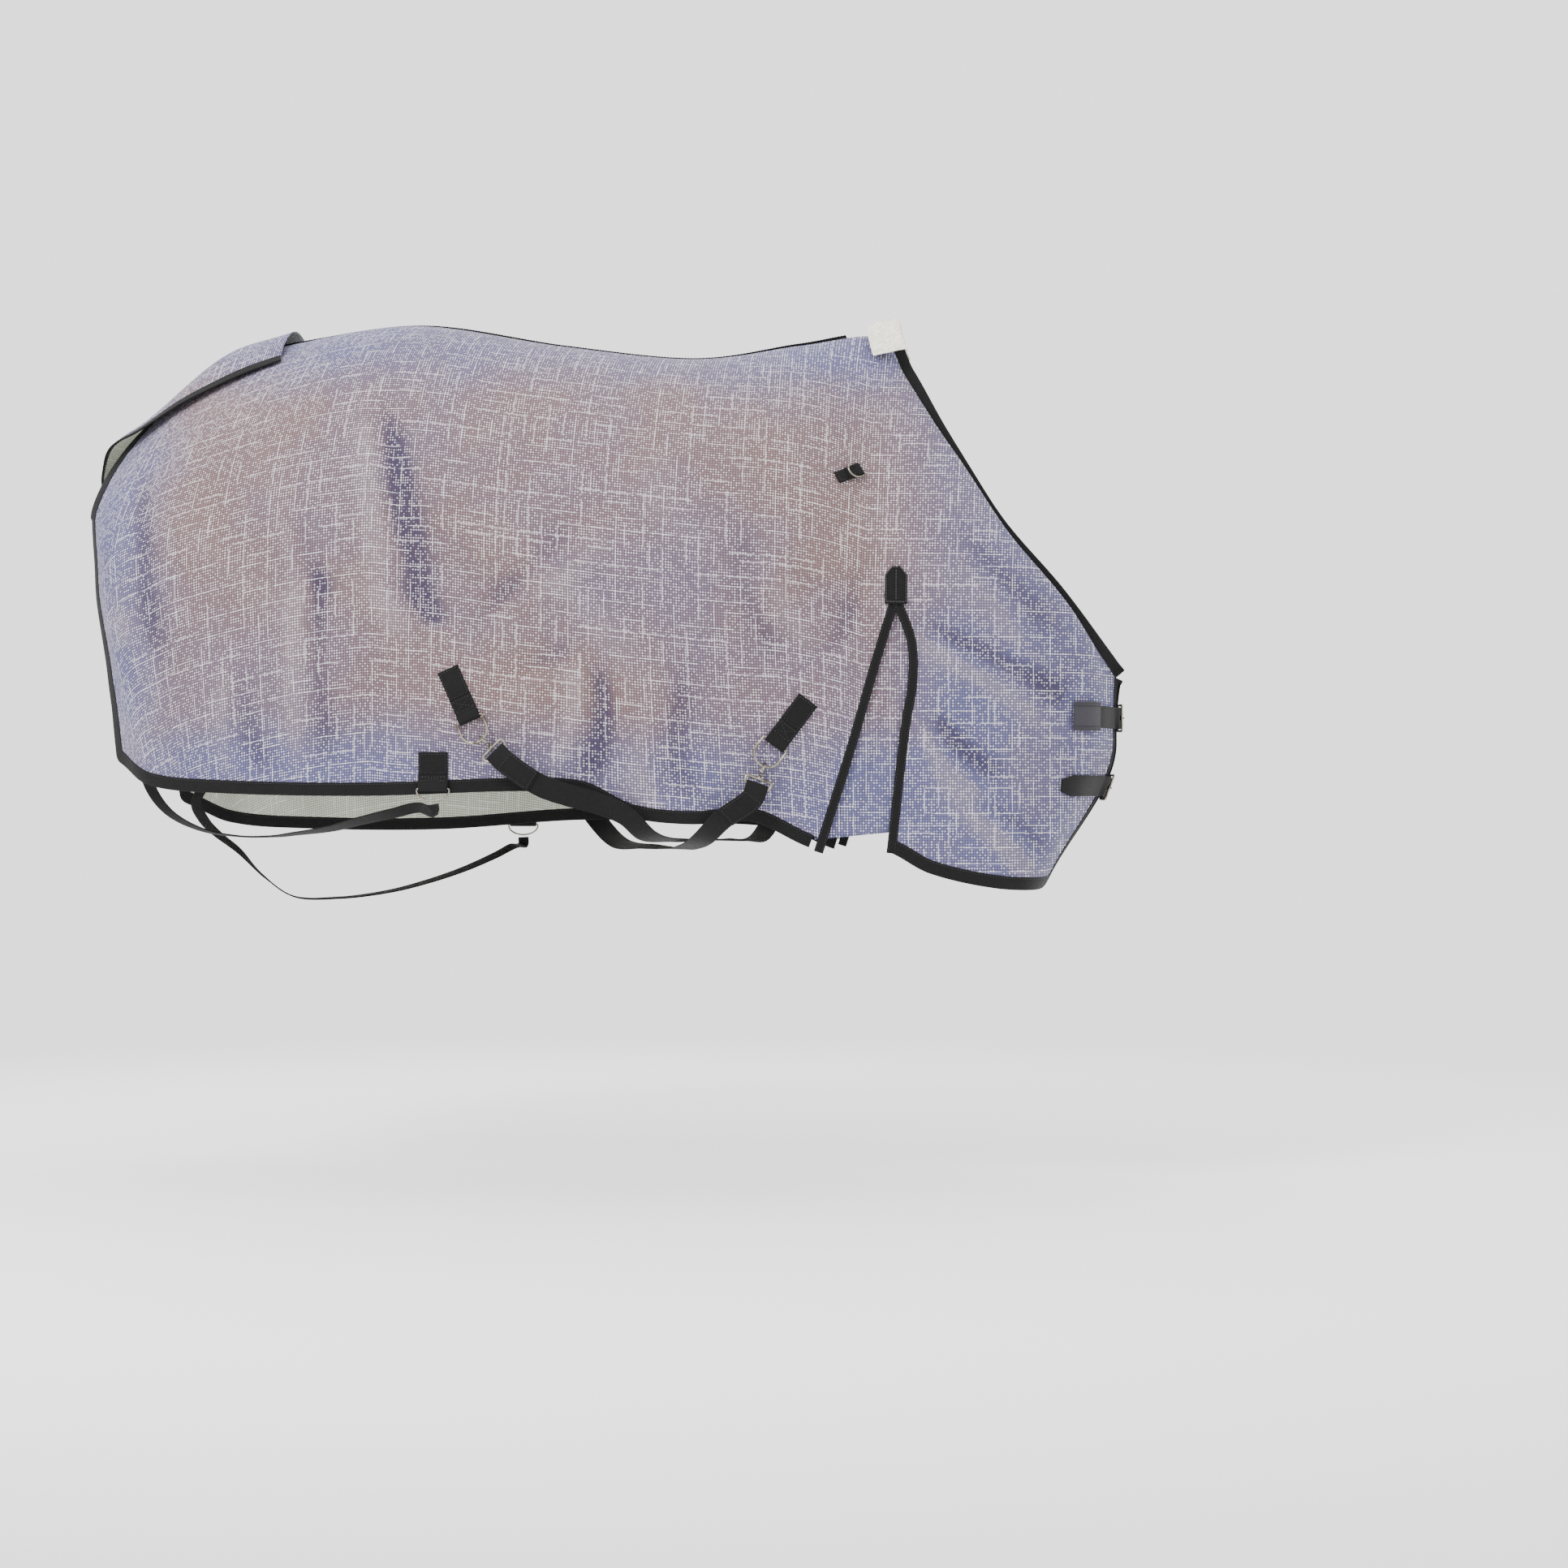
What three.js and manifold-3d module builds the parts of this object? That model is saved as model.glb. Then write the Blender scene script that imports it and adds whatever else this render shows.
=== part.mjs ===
// A mesh fly sheet for a horse, in the shape it takes when it is worn.
// Millimetres. +X is forward, towards the head, +Z is up, and -Y is the near side.
// The origin is where the sheet rests on the withers.
import * as THREE from "three";
import { mergeVertices } from "three/addons/utils/BufferGeometryUtils.js";
import Module from "manifold-3d";

const wasm = await Module();
wasm.setup();

// ---- driving dimensions ----
const PATTERN = { length: 1815, halfWidth: 335, drop: 977 }; // the size the stations are drawn for
const LENGTH = 1815; // breast to tail, along the horse
const HALF_WIDTH = 335; // middle of the back to the widest part of the barrel
const DROP = 977; // withers to the front hem
const FABRIC = 2; // wall of the mesh panels
const SEAM = 3; // space between the two halves along the back
const GAP = 0.3; // clearance between pieces that touch
const BINDING_WIDTH = 20;
const BINDING_THICK = 3.2;
const SLIT_BINDING = 16; // width of the binding down each edge of the slit
const SLIT_CLEARANCE = 1; // between that binding and the panel
const GUSSET_DEPTH = 6; // the gusset lies this far inside the panel
const GUSSET_LAP = 14; // and reaches this far behind each edge of the slit
const WEBBING_WIDTH = 38;
const WEBBING_THICK = 2.4;
const TAB_LENGTH = 92; // a surcingle tab, from its sewn end to its loop
const TAB_FOLD = 40; // the layer that comes back from the loop
const RING_WIRE = 4.5;
const RING_DEPTH = 44; // a D-ring, from its bar to the middle of its bow
const HOOK_WIRE = 5;
const HOOK_MOUTH = 9; // inner radius of a hook's eye
const GATE_WIRE = 3;
const HEM_TAB_WIDTH = 50;
const HEM_TAB_LENGTH = 62;
const LEG_STRAP_WIDTH = 20;
const LEG_STRAP_THICK = 2.4;
const SHOULDER_TAB_WIDTH = 22;
const SHOULDER_TAB_LENGTH = 46;
const SHOULDER_RING_DEPTH = 24;
const BUCKLE_DEPTH = 26; // from the hinge bar to the outer bar
const APEX_PATCH = 64; // height of the patch over the top of the slit
const FLAP_BINDING = 16; // width of the binding round the tail flap
const RING_STEPS = 10; // flats round the bow of a D-ring
const SMALL_WIRE = 3; // wire of the hem, tail and shoulder rings
const SNAP_WIRE = 3.6; // a leg strap's snap
const SNAP_MOUTH = 6.5;
const HEM_RING_DEPTH = 20;
const TAIL_RING_DEPTH = 22;
const LABEL_HEIGHT = 50;
const STRAP_LEAD = 16; // length over which a strap leaves its fitting straight
const FLEECE_THICK = 9;
const FLAP_LIFT = 4; // the tail flap lies this far above its own line

const COLOURS = {
  mesh: [0x9a96ab, 0.9, 0],
  binding: [0x1d1b1e, 0.85, 0],
  webbing: [0x191819, 0.8, 0],
  steel: [0xa8a49a, 0.35, 1],
  fleece: [0xf3efe2, 1, 0],
};

// ---- the worn shape ----
// Each station runs from the top of the sheet (the back, or the neckline) over the widest
// point of its side to the hem. round is the fullness of the curve between top and side.
const STATIONS = [
  { top: [-1205, 0, -85], side: [-1358, -150, -330], hem: [-1290, -205], round: 1.35 }, // tail edge
  { top: [-1130, 0, -32], side: [-1300, -240, -400], hem: [-1225, -262], round: 1.4 }, // buttock
  { top: [-1000, 0, -2], side: [-1120, -300, -420], hem: [-1100, -302], round: 1.75 }, // hip
  { top: [-790, 0, 20], side: [-840, -325, -430], hem: [-840, -320], round: 2.2 }, // flank
  { top: [-540, 0, -19], side: [-560, -335, -450], hem: [-570, -322], round: 2.2 }, // loin
  { top: [-305, 0, -44], side: [-310, -335, -470], hem: [-300, -306], round: 2.1 }, // belly
  { top: [-120, 0, -20], side: [-110, -315, -480], hem: [-100, -292], round: 1.75 }, // girth
  { top: [18, 0, -6], side: [10, -294, -495], hem: [10, -280], round: 1.35 }, // withers
  { top: [66, -42, -80], side: [110, -280, -520], hem: [90, -270], round: 1.5 }, // neckline
  { top: [128, -90, -192], side: [200, -258, -560], hem: [165, -258], round: 1.8 }, // neck
  { top: [222, -135, -348], side: [300, -222, -610], hem: [245, -232], round: 1.9 }, // shoulder
  { top: [335, -125, -480], side: [393, -150, -665], hem: [300, -165], round: 1.9 }, // breast
  { top: [436, -10, -610], side: [432, -12, -720], hem: [318, -16], round: 2 }, // front edge
];
// Hem heights along the horse. The sheet sits lower on the far side.
const NEAR_HEM = [
  [-1290, -742], [-1225, -780], [-1100, -793], [-840, -798], [-570, -790], [-462, -796],
  [-379, -834], [-282, -846], [-173, -842], [-62, -890], [53, -893], [126, -930],
  [235, -955], [330, -960],
];
const FAR_HEM = [
  [-1290, -815], [-1225, -850], [-1100, -862], [-840, -864], [-570, -846], [-379, -850],
  [-173, -862], [-62, -904], [53, -905], [126, -935], [235, -957], [330, -960],
];
// The slit that the gusset fills: the middle of the binding down each edge, from the apex.
const SLIT = {
  rear: [[60, -492], [27, -602], [-14, -744], [-67, -913]],
  front: [[66, -492], [90, -560], [91, -630], [78, -713], [55, -915]],
};
const GUSSET_TOP = 0.04; // the gusset's ends, as shares of the way down the slit
const GUSSET_SHARE = 0.94;
// The tail flap: the middle and the edge of each row, from its seam to its end.
const FLAP = [
  { mid: [-1030, 0, 12], edge: [-1030, 132, -48] },
  { mid: [-1130, 0, -16], edge: [-1128, 138, -84] },
  { mid: [-1215, 0, -74], edge: [-1208, 130, -124] },
  { mid: [-1300, 0, -150], edge: [-1290, 118, -172] },
  { mid: [-1352, 0, -200], edge: [-1346, 102, -206] },
  { mid: [-1374, 0, -252], edge: [-1364, 92, -252] },
  { mid: [-1368, 0, -325], edge: [-1358, 88, -320] },
];

const NEAR = -1;
const FAR = 1;
const SIDES = [[NEAR, "near"], [FAR, "far"]];
const PANEL_STEPS = [32, 13]; // along the horse, and from top to hem
const v3 = (x, y, z) => new THREE.Vector3(x, y, z);
const gradeX = (x) => (x * LENGTH) / PATTERN.length;
const gradeY = (y) => (y * HALF_WIDTH) / PATTERN.halfWidth;
const gradeZ = (z) => (z * DROP) / PATTERN.drop;
const grade = (x, y, z) => v3(gradeX(x), gradeY(y), gradeZ(z));

const splineOf = (points) => new THREE.CatmullRomCurve3(points, false, "catmullrom", 0.5);
const topLine = splineOf(STATIONS.map(({ top }) => v3(...top)));
const sideLine = splineOf(STATIONS.map(({ side }) => v3(...side)));
const hemLine = splineOf(STATIONS.map(({ hem, round }) => v3(hem[0], hem[1], round)));

// Height of a line of [x, z] points at x, smooth through each point.
function heightAt(line, x) {
  let k = 0;
  while (k < line.length - 2 && x > line[k + 1][0]) k += 1;
  const slope = (i) => {
    const a = line[Math.max(i - 1, 0)];
    const b = line[Math.min(i + 1, line.length - 1)];
    return (b[1] - a[1]) / (b[0] - a[0]);
  };
  const [x0, z0] = line[k];
  const [x1, z1] = line[k + 1];
  const run = x1 - x0;
  const t = THREE.MathUtils.clamp((x - x0) / run, 0, 1);
  const rise0 = (t ** 3 - 2 * t ** 2 + t) * run * slope(k);
  const rise1 = (t ** 3 - t ** 2) * run * slope(k + 1);
  return (2 * t ** 3 - 3 * t ** 2 + 1) * z0 + rise0 + (3 * t ** 2 - 2 * t ** 3) * z1 + rise1;
}

// A point of the worn surface: s runs from the tail edge to the breast, t from top to hem.
const WITHERS = 7 / 12; // s where the two halves part at the neckline
const CURVED_SHARE = 0.55; // share of t between the top and the widest point
function bodyPoint(side, s, t) {
  const clamped = THREE.MathUtils.clamp(s, 0, 1);
  const top = topLine.getPoint(clamped);
  const wide = sideLine.getPoint(clamped);
  const low = hemLine.getPoint(clamped);
  const round = low.z;
  low.z = heightAt(side === NEAR ? NEAR_HEM : FAR_HEM, low.x);
  const p = v3(0, 0, 0);
  if (t <= CURVED_SHARE) {
    const angle = (Math.max(t, 0) / CURVED_SHARE) * (Math.PI / 2);
    const across = Math.sin(angle) ** (2 / round);
    const down = 1 - Math.cos(angle) ** (2 / round);
    p.set(
      THREE.MathUtils.lerp(top.x, wide.x, across),
      THREE.MathUtils.lerp(top.y, wide.y, across),
      THREE.MathUtils.lerp(top.z, wide.z, down),
    );
  } else {
    const k = (t - CURVED_SHARE) / (1 - CURVED_SHARE);
    const ease = k < 1 ? k * k * (2 - k) : k;
    p.set(
      THREE.MathUtils.lerp(wide.x, low.x, ease),
      THREE.MathUtils.lerp(wide.y, low.y, ease),
      THREE.MathUtils.lerp(wide.z, low.z, k),
    );
  }
  p.y = Math.min(p.y, 0);
  const world = grade(p.x, p.y, p.z);
  world.y = -side * (world.y - SEAM / 2);
  return world;
}

// The surface's point and its two directions and outward normal at s, t.
function bodyFrame(side, s, t) {
  const d = 0.004;
  const s0 = Math.max(s - d, 0);
  const s1 = Math.min(s + d, 1);
  const t0 = Math.max(t - d, 0.002);
  const t1 = Math.min(t + d, 1);
  const along = bodyPoint(side, s1, t).sub(bodyPoint(side, s0, t)).normalize();
  const down = bodyPoint(side, s, t1).sub(bodyPoint(side, s, t0)).normalize();
  const n = along.clone().cross(down).multiplyScalar(side).normalize();
  return { p: bodyPoint(side, s, t), n, along, down };
}

// The surface's frame where it has this x and z (graded, mm).
function sideFrame(side, x, z) {
  let s = 0.5;
  let t = 0.7;
  let best = Infinity;
  for (let i = 0; i <= 24; i += 1)
    for (let j = 4; j <= 12; j += 1) {
      const p = bodyPoint(side, i / 24, j / 12);
      const miss = (p.x - x) ** 2 + (p.z - z) ** 2;
      if (miss < best) [best, s, t] = [miss, i / 24, j / 12];
    }
  const d = 0.002;
  for (let i = 0; i < 8; i += 1) {
    const p = bodyPoint(side, s, t);
    const ps = bodyPoint(side, Math.min(s + d, 1), t).sub(bodyPoint(side, Math.max(s - d, 0), t));
    const pt = bodyPoint(side, s, t + d).sub(bodyPoint(side, s, t - d));
    const det = (ps.x * pt.z - pt.x * ps.z) / (2 * d);
    s = THREE.MathUtils.clamp(s + ((x - p.x) * pt.z - (z - p.z) * pt.x) / det, 0, 1);
    t = THREE.MathUtils.clamp(t + ((z - p.z) * ps.x - (x - p.x) * ps.z) / det, 0.05, 1.1);
  }
  const frame = bodyFrame(side, s, Math.min(t, 0.995));
  frame.p = bodyPoint(side, s, t);
  return frame;
}

// ---- solids ----
function solid(positions, index) {
  const geometry = new THREE.BufferGeometry();
  geometry.setAttribute("position", new THREE.Float32BufferAttribute(positions, 3));
  let volume = 0;
  const at = (i) => v3().fromArray(positions, 3 * i);
  for (let i = 0; i < index.length; i += 3)
    volume += at(index[i]).dot(at(index[i + 1]).cross(at(index[i + 2])));
  const facing = volume > 0 ? index : [...index].reverse();
  geometry.setIndex(facing);
  return geometry;
}

// A sheet of one thickness. at(u, v) gives a point of its middle, p, and the way out, n.
function sheet([nu, nv], at, thickness) {
  const positions = [];
  for (const face of [0.5, -0.5])
    for (let j = 0; j <= nv; j += 1)
      for (let i = 0; i <= nu; i += 1) {
        const { p, n } = at(i / nu, j / nv);
        positions.push(...p.clone().addScaledVector(n, face * thickness));
      }
  const layer = (nu + 1) * (nv + 1);
  const id = (i, j) => j * (nu + 1) + i;
  const index = [];
  const quad = (a, b, c, d) => index.push(a, b, c, a, c, d);
  for (let j = 0; j < nv; j += 1)
    for (let i = 0; i < nu; i += 1) {
      const [a, b, c, d] = [id(i, j), id(i + 1, j), id(i + 1, j + 1), id(i, j + 1)];
      quad(a, b, c, d);
      quad(d + layer, c + layer, b + layer, a + layer);
    }
  const wall = (a, b) => quad(b, a, a + layer, b + layer);
  for (let i = 0; i < nu; i += 1) {
    wall(id(i, 0), id(i + 1, 0));
    wall(id(i + 1, nv), id(i, nv));
  }
  for (let j = 0; j < nv; j += 1) {
    wall(id(0, j + 1), id(0, j));
    wall(id(nu, j), id(nu, j + 1));
  }
  return solid(positions, index);
}

// A section of [o, n] points carried along frames that each have p, o and n.
function sweep(frames, section, closed = false) {
  const positions = [];
  for (const { p, o, n } of frames)
    for (const [a, b] of section)
      positions.push(...p.clone().addScaledVector(o, a).addScaledVector(n, b));
  const m = section.length;
  const index = [];
  const last = closed ? frames.length : frames.length - 1;
  for (let k = 0; k < last; k += 1) {
    const here = k * m;
    const next = ((k + 1) % frames.length) * m;
    for (let i = 0; i < m; i += 1) {
      const j = (i + 1) % m;
      index.push(here + i, here + j, next + j, here + i, next + j, next + i);
    }
  }
  if (!closed) {
    const end = (frames.length - 1) * m;
    for (let i = 1; i < m - 1; i += 1) {
      index.push(0, i + 1, i);
      index.push(end, end + i, end + i + 1);
    }
  }
  return solid(positions, index);
}

const flatSection = (from, to, thickness) => [
  [from, -thickness / 2], [to, -thickness / 2], [to, thickness / 2], [from, thickness / 2],
];
const ribbonSection = (width, thickness) => flatSection(-width / 2, width / 2, thickness);
const roundSection = (diameter, sides = 8) =>
  Array.from({ length: sides }, (_, i) => {
    const angle = ((i + 0.5) * 2 * Math.PI) / sides;
    return [(diameter / 2) * Math.cos(angle), (diameter / 2) * Math.sin(angle)];
  });

// Frames along a path of points, with n turned square to the path.
function framesAlong(points, normals, closed = false) {
  return points.map((p, k) => {
    const count = points.length;
    const before = closed ? points[(k + count - 1) % count] : points[Math.max(k - 1, 0)];
    const after = closed ? points[(k + 1) % count] : points[Math.min(k + 1, count - 1)];
    const along = after.clone().sub(before).normalize();
    const n = normals[k].clone().addScaledVector(along, -normals[k].dot(along)).normalize();
    return { p, n, o: along.clone().cross(n) };
  });
}

function manifoldOf(geometry) {
  const bare = new THREE.BufferGeometry();
  bare.setAttribute("position", geometry.getAttribute("position"));
  if (geometry.index) bare.setIndex(geometry.index);
  const merged = mergeVertices(bare, 1e-4);
  return new wasm.Manifold(
    new wasm.Mesh({
      numProp: 3,
      vertProperties: new Float32Array(merged.attributes.position.array),
      triVerts: new Uint32Array(merged.index.array),
    }),
  );
}

function geometryOf(manifold) {
  const { vertProperties, triVerts } = manifold.getMesh();
  const geometry = new THREE.BufferGeometry();
  geometry.setAttribute("position", new THREE.BufferAttribute(vertProperties, 3));
  geometry.setIndex(new THREE.BufferAttribute(triVerts, 1));
  return geometry;
}

const cut = (a, b) => geometryOf(manifoldOf(a).subtract(manifoldOf(b)));
const join = (a, b) => geometryOf(manifoldOf(a).add(manifoldOf(b)));

const sheetGroup = new THREE.Group();
function add(name, geometry, colour, place = new THREE.Matrix4()) {
  const [color, roughness, metalness] = COLOURS[colour];
  const material = new THREE.MeshStandardMaterial({ color, roughness, metalness });
  const mesh = new THREE.Mesh(geometry, material);
  mesh.name = name;
  mesh.applyMatrix4(place);
  sheetGroup.add(mesh);
}

// ---- mesh panels and their bindings ----
const [ALONG_STEPS, DOWN_STEPS] = PANEL_STEPS;

const slitLine = (edge) => new THREE.SplineCurve(
  SLIT[edge].map(([x, z]) => new THREE.Vector2(gradeX(x), gradeZ(z))),
);
const SLIT_STEPS = 12;
const slitPoints = (edge) => slitLine(edge).getPoints(SLIT_STEPS);

// The slit as a wedge right through one side, its edges moved outwards by spread.
function slitWedge(side, spread) {
  const rear = slitPoints("rear").map(({ x, y }) => [x - spread, y]);
  const front = slitPoints("front").map(({ x, y }) => [x + spread, y]);
  const outline = new THREE.Shape();
  outline.moveTo(rear[0][0], rear[0][1] + spread);
  const deep = ([x, z]) => [x, z - 3 * BINDING_WIDTH];
  for (const point of [...rear, deep(rear.at(-1)), deep(front.at(-1)), ...front.reverse()])
    outline.lineTo(...point);
  outline.lineTo(front.at(-1)[0], front.at(-1)[1] + spread);
  const wedge = new THREE.ExtrudeGeometry(outline, { depth: HALF_WIDTH, bevelEnabled: false });
  wedge.rotateX(Math.PI / 2);
  wedge.translate(0, side === NEAR ? -gradeY(100) : gradeY(100) + HALF_WIDTH, 0);
  return wedge;
}

const panel = (side) =>
  sheet(PANEL_STEPS, (u, v) => bodyFrame(side, u, v), FABRIC);

// Frames along one edge of a cloth, o pointing off it. frameAt(u, v) gives its frames.
function edgeFrames(frameAt, edge, steps, [before, after]) {
  const place = { v1: (q) => [q, 1], v0: (q) => [q, 0], u0: (q) => [0, q], u1: (q) => [1, q] };
  const runsAlong = edge === "v1" || edge === "v0";
  const way = edge === "v1" || edge === "u1" ? 1 : -1;
  const frames = Array.from({ length: steps + 1 }, (_, k) => {
    const frame = frameAt(...place[edge](k / steps));
    const run = runsAlong ? frame.along : frame.down;
    const o = (runsAlong ? frame.down : frame.along).clone().multiplyScalar(way);
    o.addScaledVector(run, -o.dot(run)).normalize();
    return { p: frame.p, n: frame.n, o, run };
  });
  const beyond = (frame, sign) => ({
    ...frame, p: frame.p.clone().addScaledVector(frame.run, sign * (GAP + BINDING_WIDTH)),
  });
  if (before) frames.unshift(beyond(frames[0], -1));
  if (after) frames.push(beyond(frames.at(-1), 1));
  return frames;
}

const bindingSection = flatSection(GAP, GAP + BINDING_WIDTH, BINDING_THICK);

// Each straight stretch between frames divided evenly, so that a twisted band turns in small steps.
const NECK_PARTS = 3;
const NECK_STAND = 0.8; // how far its binding turns up from the cloth: 1 is straight up
const NECK_GAP = 2.2; // from the middle of the cloth to that binding
const neckSection = flatSection(NECK_GAP, NECK_GAP + BINDING_WIDTH, BINDING_THICK);
const between = (frames, parts) => frames.flatMap((frame, k) => {
  if (!k) return [frame];
  const last = frames[k - 1];
  return Array.from({ length: parts }, (_, i) => {
    const share = (i + 1) / parts;
    const blend = (key) => last[key].clone().lerp(frame[key], share);
    return { p: blend("p"), o: blend("o"), n: blend("n") };
  });
});

// Everything beyond the middle of the horse, seen from one side.
function otherSide(side) {
  const reach = 4 * LENGTH;
  const block = new THREE.BoxGeometry(reach, reach, reach);
  block.translate(0, side * -(reach / 2 - SEAM / 2), 0);
  return block;
}

for (const [side, name] of SIDES) {
  const body = (u, v) => bodyFrame(side, u, v);
  const wedge = slitWedge(side, SLIT_BINDING / 2 + SLIT_CLEARANCE);
  add(`${name}_body_panel`, cut(panel(side), wedge), "mesh");
  const edgeOf = (...edge) => sweep(edgeFrames(body, ...edge), bindingSection);
  const tail = edgeOf("u0", DOWN_STEPS, [false, true]);
  const hem = edgeOf("v1", ALONG_STEPS, [true, true]);
  const breast = edgeOf("u1", DOWN_STEPS, [false, true]);
  const edging = cut(cut(join(join(tail, hem), breast), wedge), otherSide(side));
  const startOf = (piece) => piece.boundingBox().min[0];
  const [rear, front] = manifoldOf(edging).decompose().sort((a, b) => startOf(a) - startOf(b));
  add(`${name}_rear_hem_binding`, geometryOf(rear), "binding");
  add(`${name}_front_hem_binding`, geometryOf(front), "binding");

  // The neckline's binding starts where the two halves part, ahead of the withers.
  const parting = Math.ceil(ALONG_STEPS * WITHERS) + 1;
  const neck = edgeFrames(body, "v0", ALONG_STEPS, [false, false]).slice(parting);
  for (const frame of neck) {
    // It stands up against the neck.
    const { o, run } = frame;
    o.lerp(run.clone().cross(v3(0, 1, 0)).normalize(), NECK_STAND);
    o.addScaledVector(run, -o.dot(run)).normalize();
    frame.n = o.clone().cross(run);
    if (frame.n.y * side < 0) frame.n.negate();
  }
  add(`${name}_neck_binding`, sweep(between(neck, NECK_PARTS), neckSection), "binding");

  // The gusset lies behind the slit, and its bindings run down both edges to the hem.
  const onSide = ({ x, y }) => sideFrame(side, x, y);
  const strip = (edge) => {
    const frames = slitPoints(edge).map(onSide);
    const path = framesAlong(frames.map(({ p }) => p), frames.map(({ n }) => n));
    return sweep(path, ribbonSection(SLIT_BINDING, BINDING_THICK));
  };
  add(`${name}_slit_binding`, join(strip("rear"), strip("front")), "binding");
  const behind = (u, v) => {
    const drop = v * GUSSET_SHARE + (1 - v) * GUSSET_TOP;
    const a = slitLine("rear").getPoint(drop);
    const b = slitLine("front").getPoint(drop);
    a.x -= GUSSET_LAP;
    b.x += GUSSET_LAP;
    const { p, n } = onSide(a.lerp(b, u));
    return { p: p.addScaledVector(n, -GUSSET_DEPTH), n };
  };
  const GUSSET_STEPS = [4, 9];
  add(`${name}_shoulder_gusset`, sheet(GUSSET_STEPS, behind, FABRIC), "mesh");
  const apex = (u, v) => {
    const half = (WEBBING_WIDTH / 2) * Math.min(1, 0.3 + 3 * v);
    const x = gradeX(SLIT.rear[0][0] + 3) + (2 * u - 1) * half;
    const { p, n } = sideFrame(side, x, gradeZ(SLIT.rear[0][1]) + APEX_PATCH * (1 - v) - 4);
    return { p: p.addScaledVector(n, BINDING_THICK / 2 + 1 + WEBBING_THICK / 2), n };
  };
  add(`${name}_gusset_patch`, sheet([2, 5], apex, WEBBING_THICK), "webbing");
}

// ---- along the back ----
const overSpine = FABRIC / 2 + 1 + WEBBING_THICK / 2;
const SPINE_TAPE_WIDTH = 24;
const spineSteps = Math.floor(ALONG_STEPS * WITHERS) - 2;
const spineLine = Array.from({ length: spineSteps }, (_, k) => {
  const { p } = bodyFrame(NEAR, (k + 2) / ALONG_STEPS, 0);
  return v3(p.x, 0, p.z);
});
const spineFrames = framesAlong(spineLine, spineLine.map(() => v3(0, 0, 1)));
for (const { p, n } of spineFrames) p.addScaledVector(n, overSpine);
const spineTape = sweep(spineFrames, ribbonSection(SPINE_TAPE_WIDTH, WEBBING_THICK));
add("spine_tape", spineTape, "webbing");

// A frame of any smooth surface given by its points.
function frameOf(pointAt, u, v) {
  const d = 0.01;
  const [u0, u1] = [Math.max(u - d, 0), Math.min(u + d, 1)];
  const [v0, v1] = [Math.max(v - d, 0), Math.min(v + d, 1)];
  const along = pointAt(u1, v).sub(pointAt(u0, v)).normalize();
  const down = pointAt(u, v1).sub(pointAt(u, v0)).normalize();
  return { p: pointAt(u, v), along, down, n: along.clone().cross(down).normalize() };
}

const flapMid = splineOf(FLAP.map(({ mid }) => grade(...mid)));
const flapEdge = splineOf(FLAP.map(({ edge }) => grade(...edge)));
function flapPoint(u, v) {
  const mid = flapMid.getPoint(u);
  const edge = flapEdge.getPoint(u);
  const a = 2 * v - 1;
  const p = mid.clone().lerp(edge, a * a);
  p.y = a * edge.y;
  p.z += FLAP_LIFT;
  return p;
}
const flapFrame = (u, v) => frameOf(flapPoint, u, v);
const FLAP_STEPS = [14, 8];
add("tail_flap", sheet(FLAP_STEPS, flapFrame, FABRIC), "mesh");
const flapSection = flatSection(GAP, GAP + FLAP_BINDING, BINDING_THICK);
const flapEdging = [["v0", [false, true]], ["v1", [false, true]], ["u1", [true, true]]]
  .map(([edge, over]) => {
    const steps = edge === "u1" ? FLAP_STEPS[1] : FLAP_STEPS[0];
    return sweep(edgeFrames(flapFrame, edge, steps, over), flapSection);
  })
  .reduce(join);
add("tail_flap_binding", flapEdging, "binding");

// The fleece saddles the withers and hangs over the front edge of the sheet.
const FLEECE = { rear: [-2, 12, 76], front: [56, 24, 74], fall: 60 }; // x, crest height, reach
function fleecePoint(u, v) {
  const a = 2 * v - 1;
  const [x0, z0, y0] = FLEECE.rear;
  const [x1, z1, y1] = FLEECE.front;
  const x = THREE.MathUtils.lerp(x0, x1, u) + 15 * a * a;
  const y = a * THREE.MathUtils.lerp(y0, y1, u);
  const z = THREE.MathUtils.lerp(z0, z1, u) - FLEECE.fall * Math.abs(a) ** 1.5;
  return grade(x, y, z);
}
const fleece = sheet([3, 12], (u, v) => frameOf(fleecePoint, u, v), FLEECE_THICK);
add("withers_fleece", fleece, "fleece");

// ---- webbing tabs, rings and hooks, in a frame of their own: x across, y down the pull, z out --
function place(side, [x, z], lean, inside = false) {
  const { p, n } = sideFrame(side, gradeX(x), gradeZ(z));
  if (inside) n.negate();
  const pull = v3(Math.sin(lean), 0, -Math.cos(lean));
  pull.addScaledVector(n, -pull.dot(n)).normalize();
  return new THREE.Matrix4().makeBasis(pull.clone().cross(n), pull, n).setPosition(p);
}
const pathInPlane = (points) => {
  const list = points.map(([y, z]) => v3(0, y, z));
  return list.map((p, k) => {
    const along = list[Math.min(k + 1, list.length - 1)].clone().sub(list[Math.max(k - 1, 0)]);
    along.normalize();
    const o = v3(1, 0, 0);
    return { p, o, n: o.clone().cross(along).negate() };
  });
};

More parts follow.
